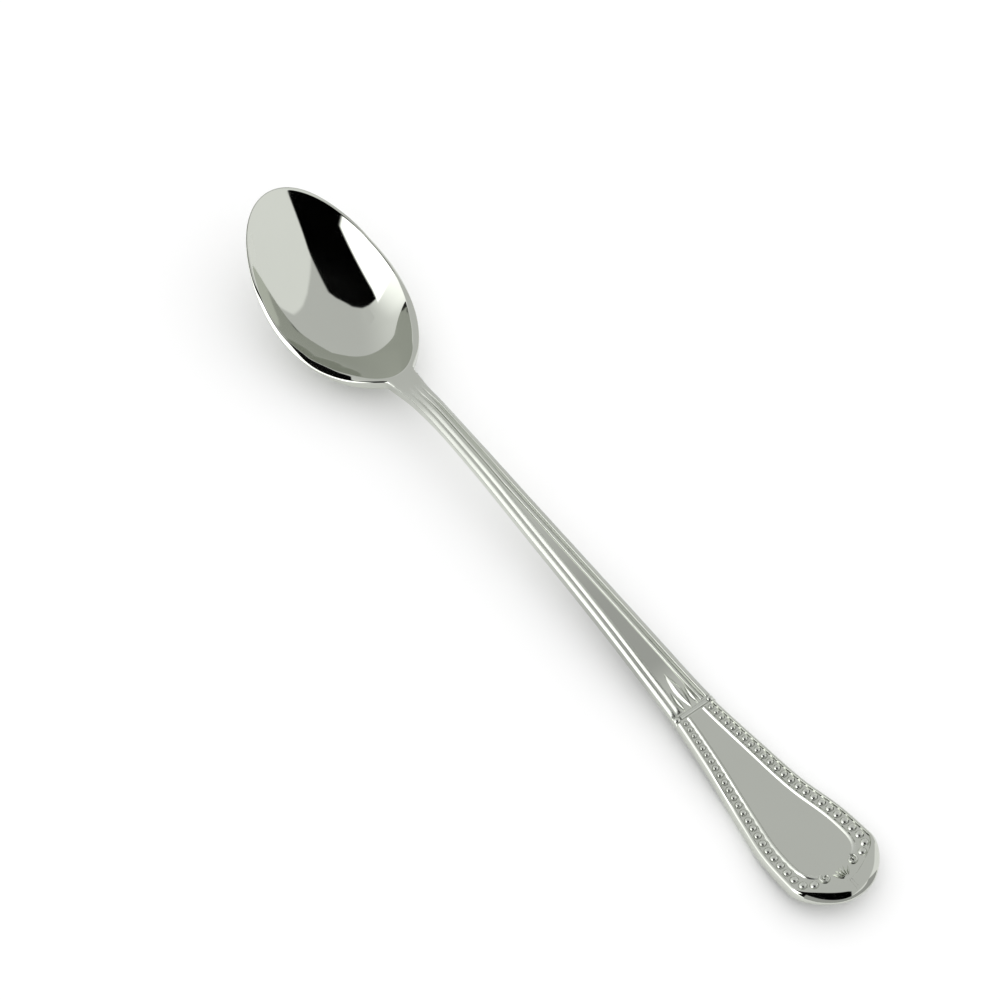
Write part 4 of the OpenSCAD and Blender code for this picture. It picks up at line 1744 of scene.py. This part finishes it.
@dataclass
class Room:
    """The room that the steel reflects: pale walls, a soft light at one side and a dark side.

    It is a dome that only reflections see, so it neither lights the floor nor shows behind it. Its
    radius is in metres, and its horizon, its opening overhead and its edge below are in degrees.
    """

    radius: float = 2.6
    overhead_glow: float = 0.69
    side_glow: float = 0.98
    horizon: float = 90.0
    opening: float = 0.4
    below: float = 4.0
    reach_share: float = 0.15
    lean_share: float = 1.1
    lean_along: float = 0.5
    rings: int = 190
    around: int = 360
    patches: tuple[Patch, ...] = (
        Patch(((44, 2), (18.2, 32.5), (10.5, 45.5), (0, 68), (0, 130), (130, 130), (130, -35)), 1.04, 3.0),
        Patch(((-140, -70), (-55, -52), (-18, -38), (60, -60), (60, -160), (-140, -160)), 1.9, 50.0),
        Patch(
            (
                (7, 9), (18, 13), (30, 10), (48, 3), (73, -3), (75, -20), (75, -60),
                (62, -120), (0, -120), (-19, -36), (-15, -20), (-11, -10), (-4, 0),
            ),
            0.0,
            2.0,
        ),
        Patch(((-22, -33.5), (39.5, -51.5), (46, -110), (-30, -110)), 2.6, 4.0),
    )

    def build(self) -> None:
        """Builds the dome with its brightness at every corner."""
        polar = np.radians(np.linspace(self.opening, self.horizon + self.below, self.rings))
        polar, turn = np.meshgrid(polar, sweep(360, self.around)[:-1], indexing="ij")
        rays = np.stack([np.cos(turn), np.sin(turn)], axis=2)
        points = np.concatenate([np.sin(polar)[..., None] * rays, np.cos(polar)[..., None]], axis=2)
        faces = ring_faces(0, self.rings, self.around) + [tuple(range(self.around))]
        dome = add_stage("reflected_room", self.radius * points, faces, glowing("room_glow"))
        glow = self.brightness((np.degrees(polar)[..., None] * rays).reshape(-1, 2))
        layer = dome.data.color_attributes.new("glow", "FLOAT_COLOR", "POINT")
        layer.data.foreach_set("color", np.repeat(glow, 4))

    def brightness(self, place: Array) -> Array:
        """Works out the room's brightness.

        Args:
            place: Places in degrees from overhead, of shape (places, 2).

        Returns:
            The brightness at each place.
        """
        reach = np.linalg.norm(place, axis=1) / self.horizon
        lean = np.clip(-(self.lean_along * place[:, 0] + place[:, 1]) / self.horizon, 0.0, 1.0)
        share = ease(self.reach_share * reach + self.lean_share * lean)
        glow = mix(self.overhead_glow, self.side_glow, share)
        for patch in self.patches:
            glow = mix(glow, patch.glow, patch.cover(place))
        return glow


@dataclass
class Flags:
    """Three cards that only reflections see: black, grey and pale.

    The black card's corners are in degrees from overhead, seen from the handle's end. The grey card
    bends round that end. The pale card hangs over the bowl's tip, in millimetres from it.
    """

    form: SpoonForm
    black_distance: float = 300.0
    black_corners: Table = ((8, -24), (38, -31), (40, -60), (30, -82), (4, -80))
    grey_distance: float = 45.0
    grey_height: float = 55.0
    grey_turn: tuple[float, float] = (-80.0, 75.0)
    grey_glow: float = 0.46
    grey_steps: int = 24
    pale_corners: Table = ((-9, -18), (9, -18), (9, -2), (-9, -2))
    pale_height: float = 75.0
    pale_glow: float = 0.73

    def build(self) -> None:
        """Builds the cards."""
        form = self.form
        tip = np.array([form.length, 0.0, float(form.rise(form.length))])
        polar = np.radians(np.hypot(*np.transpose(self.black_corners)))
        rays = np.column_stack([np.sin(polar)[:, None] * unit(np.array(self.black_corners)), np.cos(polar)])
        self._card("black_flag", tip + self.black_distance * rays, 0.0)
        turns = np.radians(np.linspace(*self.grey_turn, self.grey_steps + 1))
        foot = tip[:2] + self.grey_distance * np.stack([np.cos(turns), np.sin(turns)], axis=1)
        rows = [np.column_stack([foot, np.full(len(foot), z)]) for z in (0.0, self.grey_height)]
        faces = ring_faces(0, 2, len(foot))[:-1]
        self._card("grey_flag", np.concatenate(rows), self.grey_glow, faces)
        pale = [(x, y, self.pale_height) for x, y in self.pale_corners]
        self._card("pale_flag", pale, self.pale_glow)

    def _card(self, name: str, points: Sequence[Array], glow: float, faces: Faces | None = None) -> None:
        """Builds one card.

        Args:
            name: The card's name.
            points: Its corners, in millimetres along the spoon.
            glow: Its brightness, where 1 is white on the floor.
            faces: Its faces by corner, or None for one face with all the corners.
        """
        faces = faces or [tuple(range(len(points)))]
        add_stage(name, self.form.in_frame(points), faces, glowing(f"{name}_tone", glow))


@dataclass
class Studio:
    """The pale floor, the soft light and the camera.

    Lengths are in millimetres, except that the floor's size and the camera's clip are in metres.
    """

    form: SpoonForm
    azimuth: float = 52.733
    elevation: float = 57.5
    distance: float = 800.0
    pixels_per_mm: float = 5.060
    aim: tuple[float, float, float] = (-13.979, -2.042, 7.904)
    frame_pixels: int = 1000
    sensor: float = 36.0
    clip: tuple[float, float] = (0.01, 20.0)
    floor_size: float = 6.0
    floor_tone: float = 0.86
    sky_strength: float = 1.22
    sky_lean: float = 0.3

    def build(self) -> None:
        """Builds the floor, the light and the camera."""
        self._floor()
        self._sky()
        Room().build()
        Flags(self.form).build()
        self._camera()
        bpy.context.scene.view_settings.view_transform = "Standard"

    def _floor(self) -> None:
        """Builds the plain pale floor."""
        made = bpy.data.materials.new("pale_floor")
        made.use_nodes = True
        look = {"Base Color": (*[self.floor_tone] * 3, 1.0), "Roughness": 1.0, "Specular IOR Level": 0.0}
        fill(made.node_tree, made.node_tree.nodes["Principled BSDF"], look)
        corners = self.floor_size / 2 * np.array([(-1, -1, 0), (1, -1, 0), (1, 1, 0), (-1, 1, 0)])
        add_stage("studio_floor", corners, [(0, 1, 2, 3)], made, hidden=False)

    def _sky(self) -> None:
        """Lights the floor by a soft white sky, a little brighter on the spoon's left."""
        world = bpy.data.worlds.new("soft_sky")
        world.use_nodes = True
        tree = world.node_tree
        place = add_node(tree, "TexCoord", {})
        across = add_node(tree, "SeparateXYZ", {"Vector": place.outputs["Generated"]})
        lean = {"Value": across.outputs["Y"], "From Min": -1.0, "From Max": 1.0}
        lean["To Min"] = self.sky_strength * (1 - self.sky_lean)
        lean["To Max"] = self.sky_strength * (1 + self.sky_lean)
        strength = add_node(tree, "MapRange", lean).outputs["Result"]
        fill(tree, tree.nodes["Background"], {"Color": (1, 1, 1, 1), "Strength": strength})
        bpy.context.scene.world = world

    def _camera(self) -> None:
        """Places the camera at the photographed angle."""
        azimuth, elevation = math.radians(self.azimuth), math.radians(self.elevation)
        right = Vector((math.cos(azimuth), math.sin(azimuth), 0))
        level = Vector((math.sin(azimuth), -math.cos(azimuth), 0))
        back = level * math.cos(elevation) + Vector((0, 0, math.sin(elevation)))
        turn = Matrix((right, back.cross(right), back)).transposed().to_4x4()
        lens = bpy.data.cameras.new("camera")
        lens.sensor_width = self.sensor
        lens.lens = self.pixels_per_mm * self.distance * self.sensor / self.frame_pixels
        lens.clip_start, lens.clip_end = self.clip
        camera = place_object("camera", lens)
        camera.matrix_world = Matrix.Translation((Vector(self.aim) + back * self.distance) * MM) @ turn
        bpy.context.scene.camera = camera


def main() -> None:
    """Builds the spoon and its studio, and reports each piece."""
    logging.basicConfig(level=logging.INFO, format="%(message)s")
    form = SpoonForm()
    shank = Shank(form)
    outline = HandleOutline(form)
    ornament = TipOrnament(form)
    beads = BeadRows(form, outline, ornament)
    parts = (
        Bowl(form, shank),
        shank,
        StemThreads(form),
        Crossbar(form),
        Blade(form, outline),
        Border(form, outline),
        beads,
        PanelRidges(form, beads, ornament),
        ornament,
    )
    for part in parts:
        for piece in part.build():
            LOG.info("%s: %d faces", piece.name, len(piece.data.polygons))
    Studio(form).build()


if __name__ == "__main__":
    main()
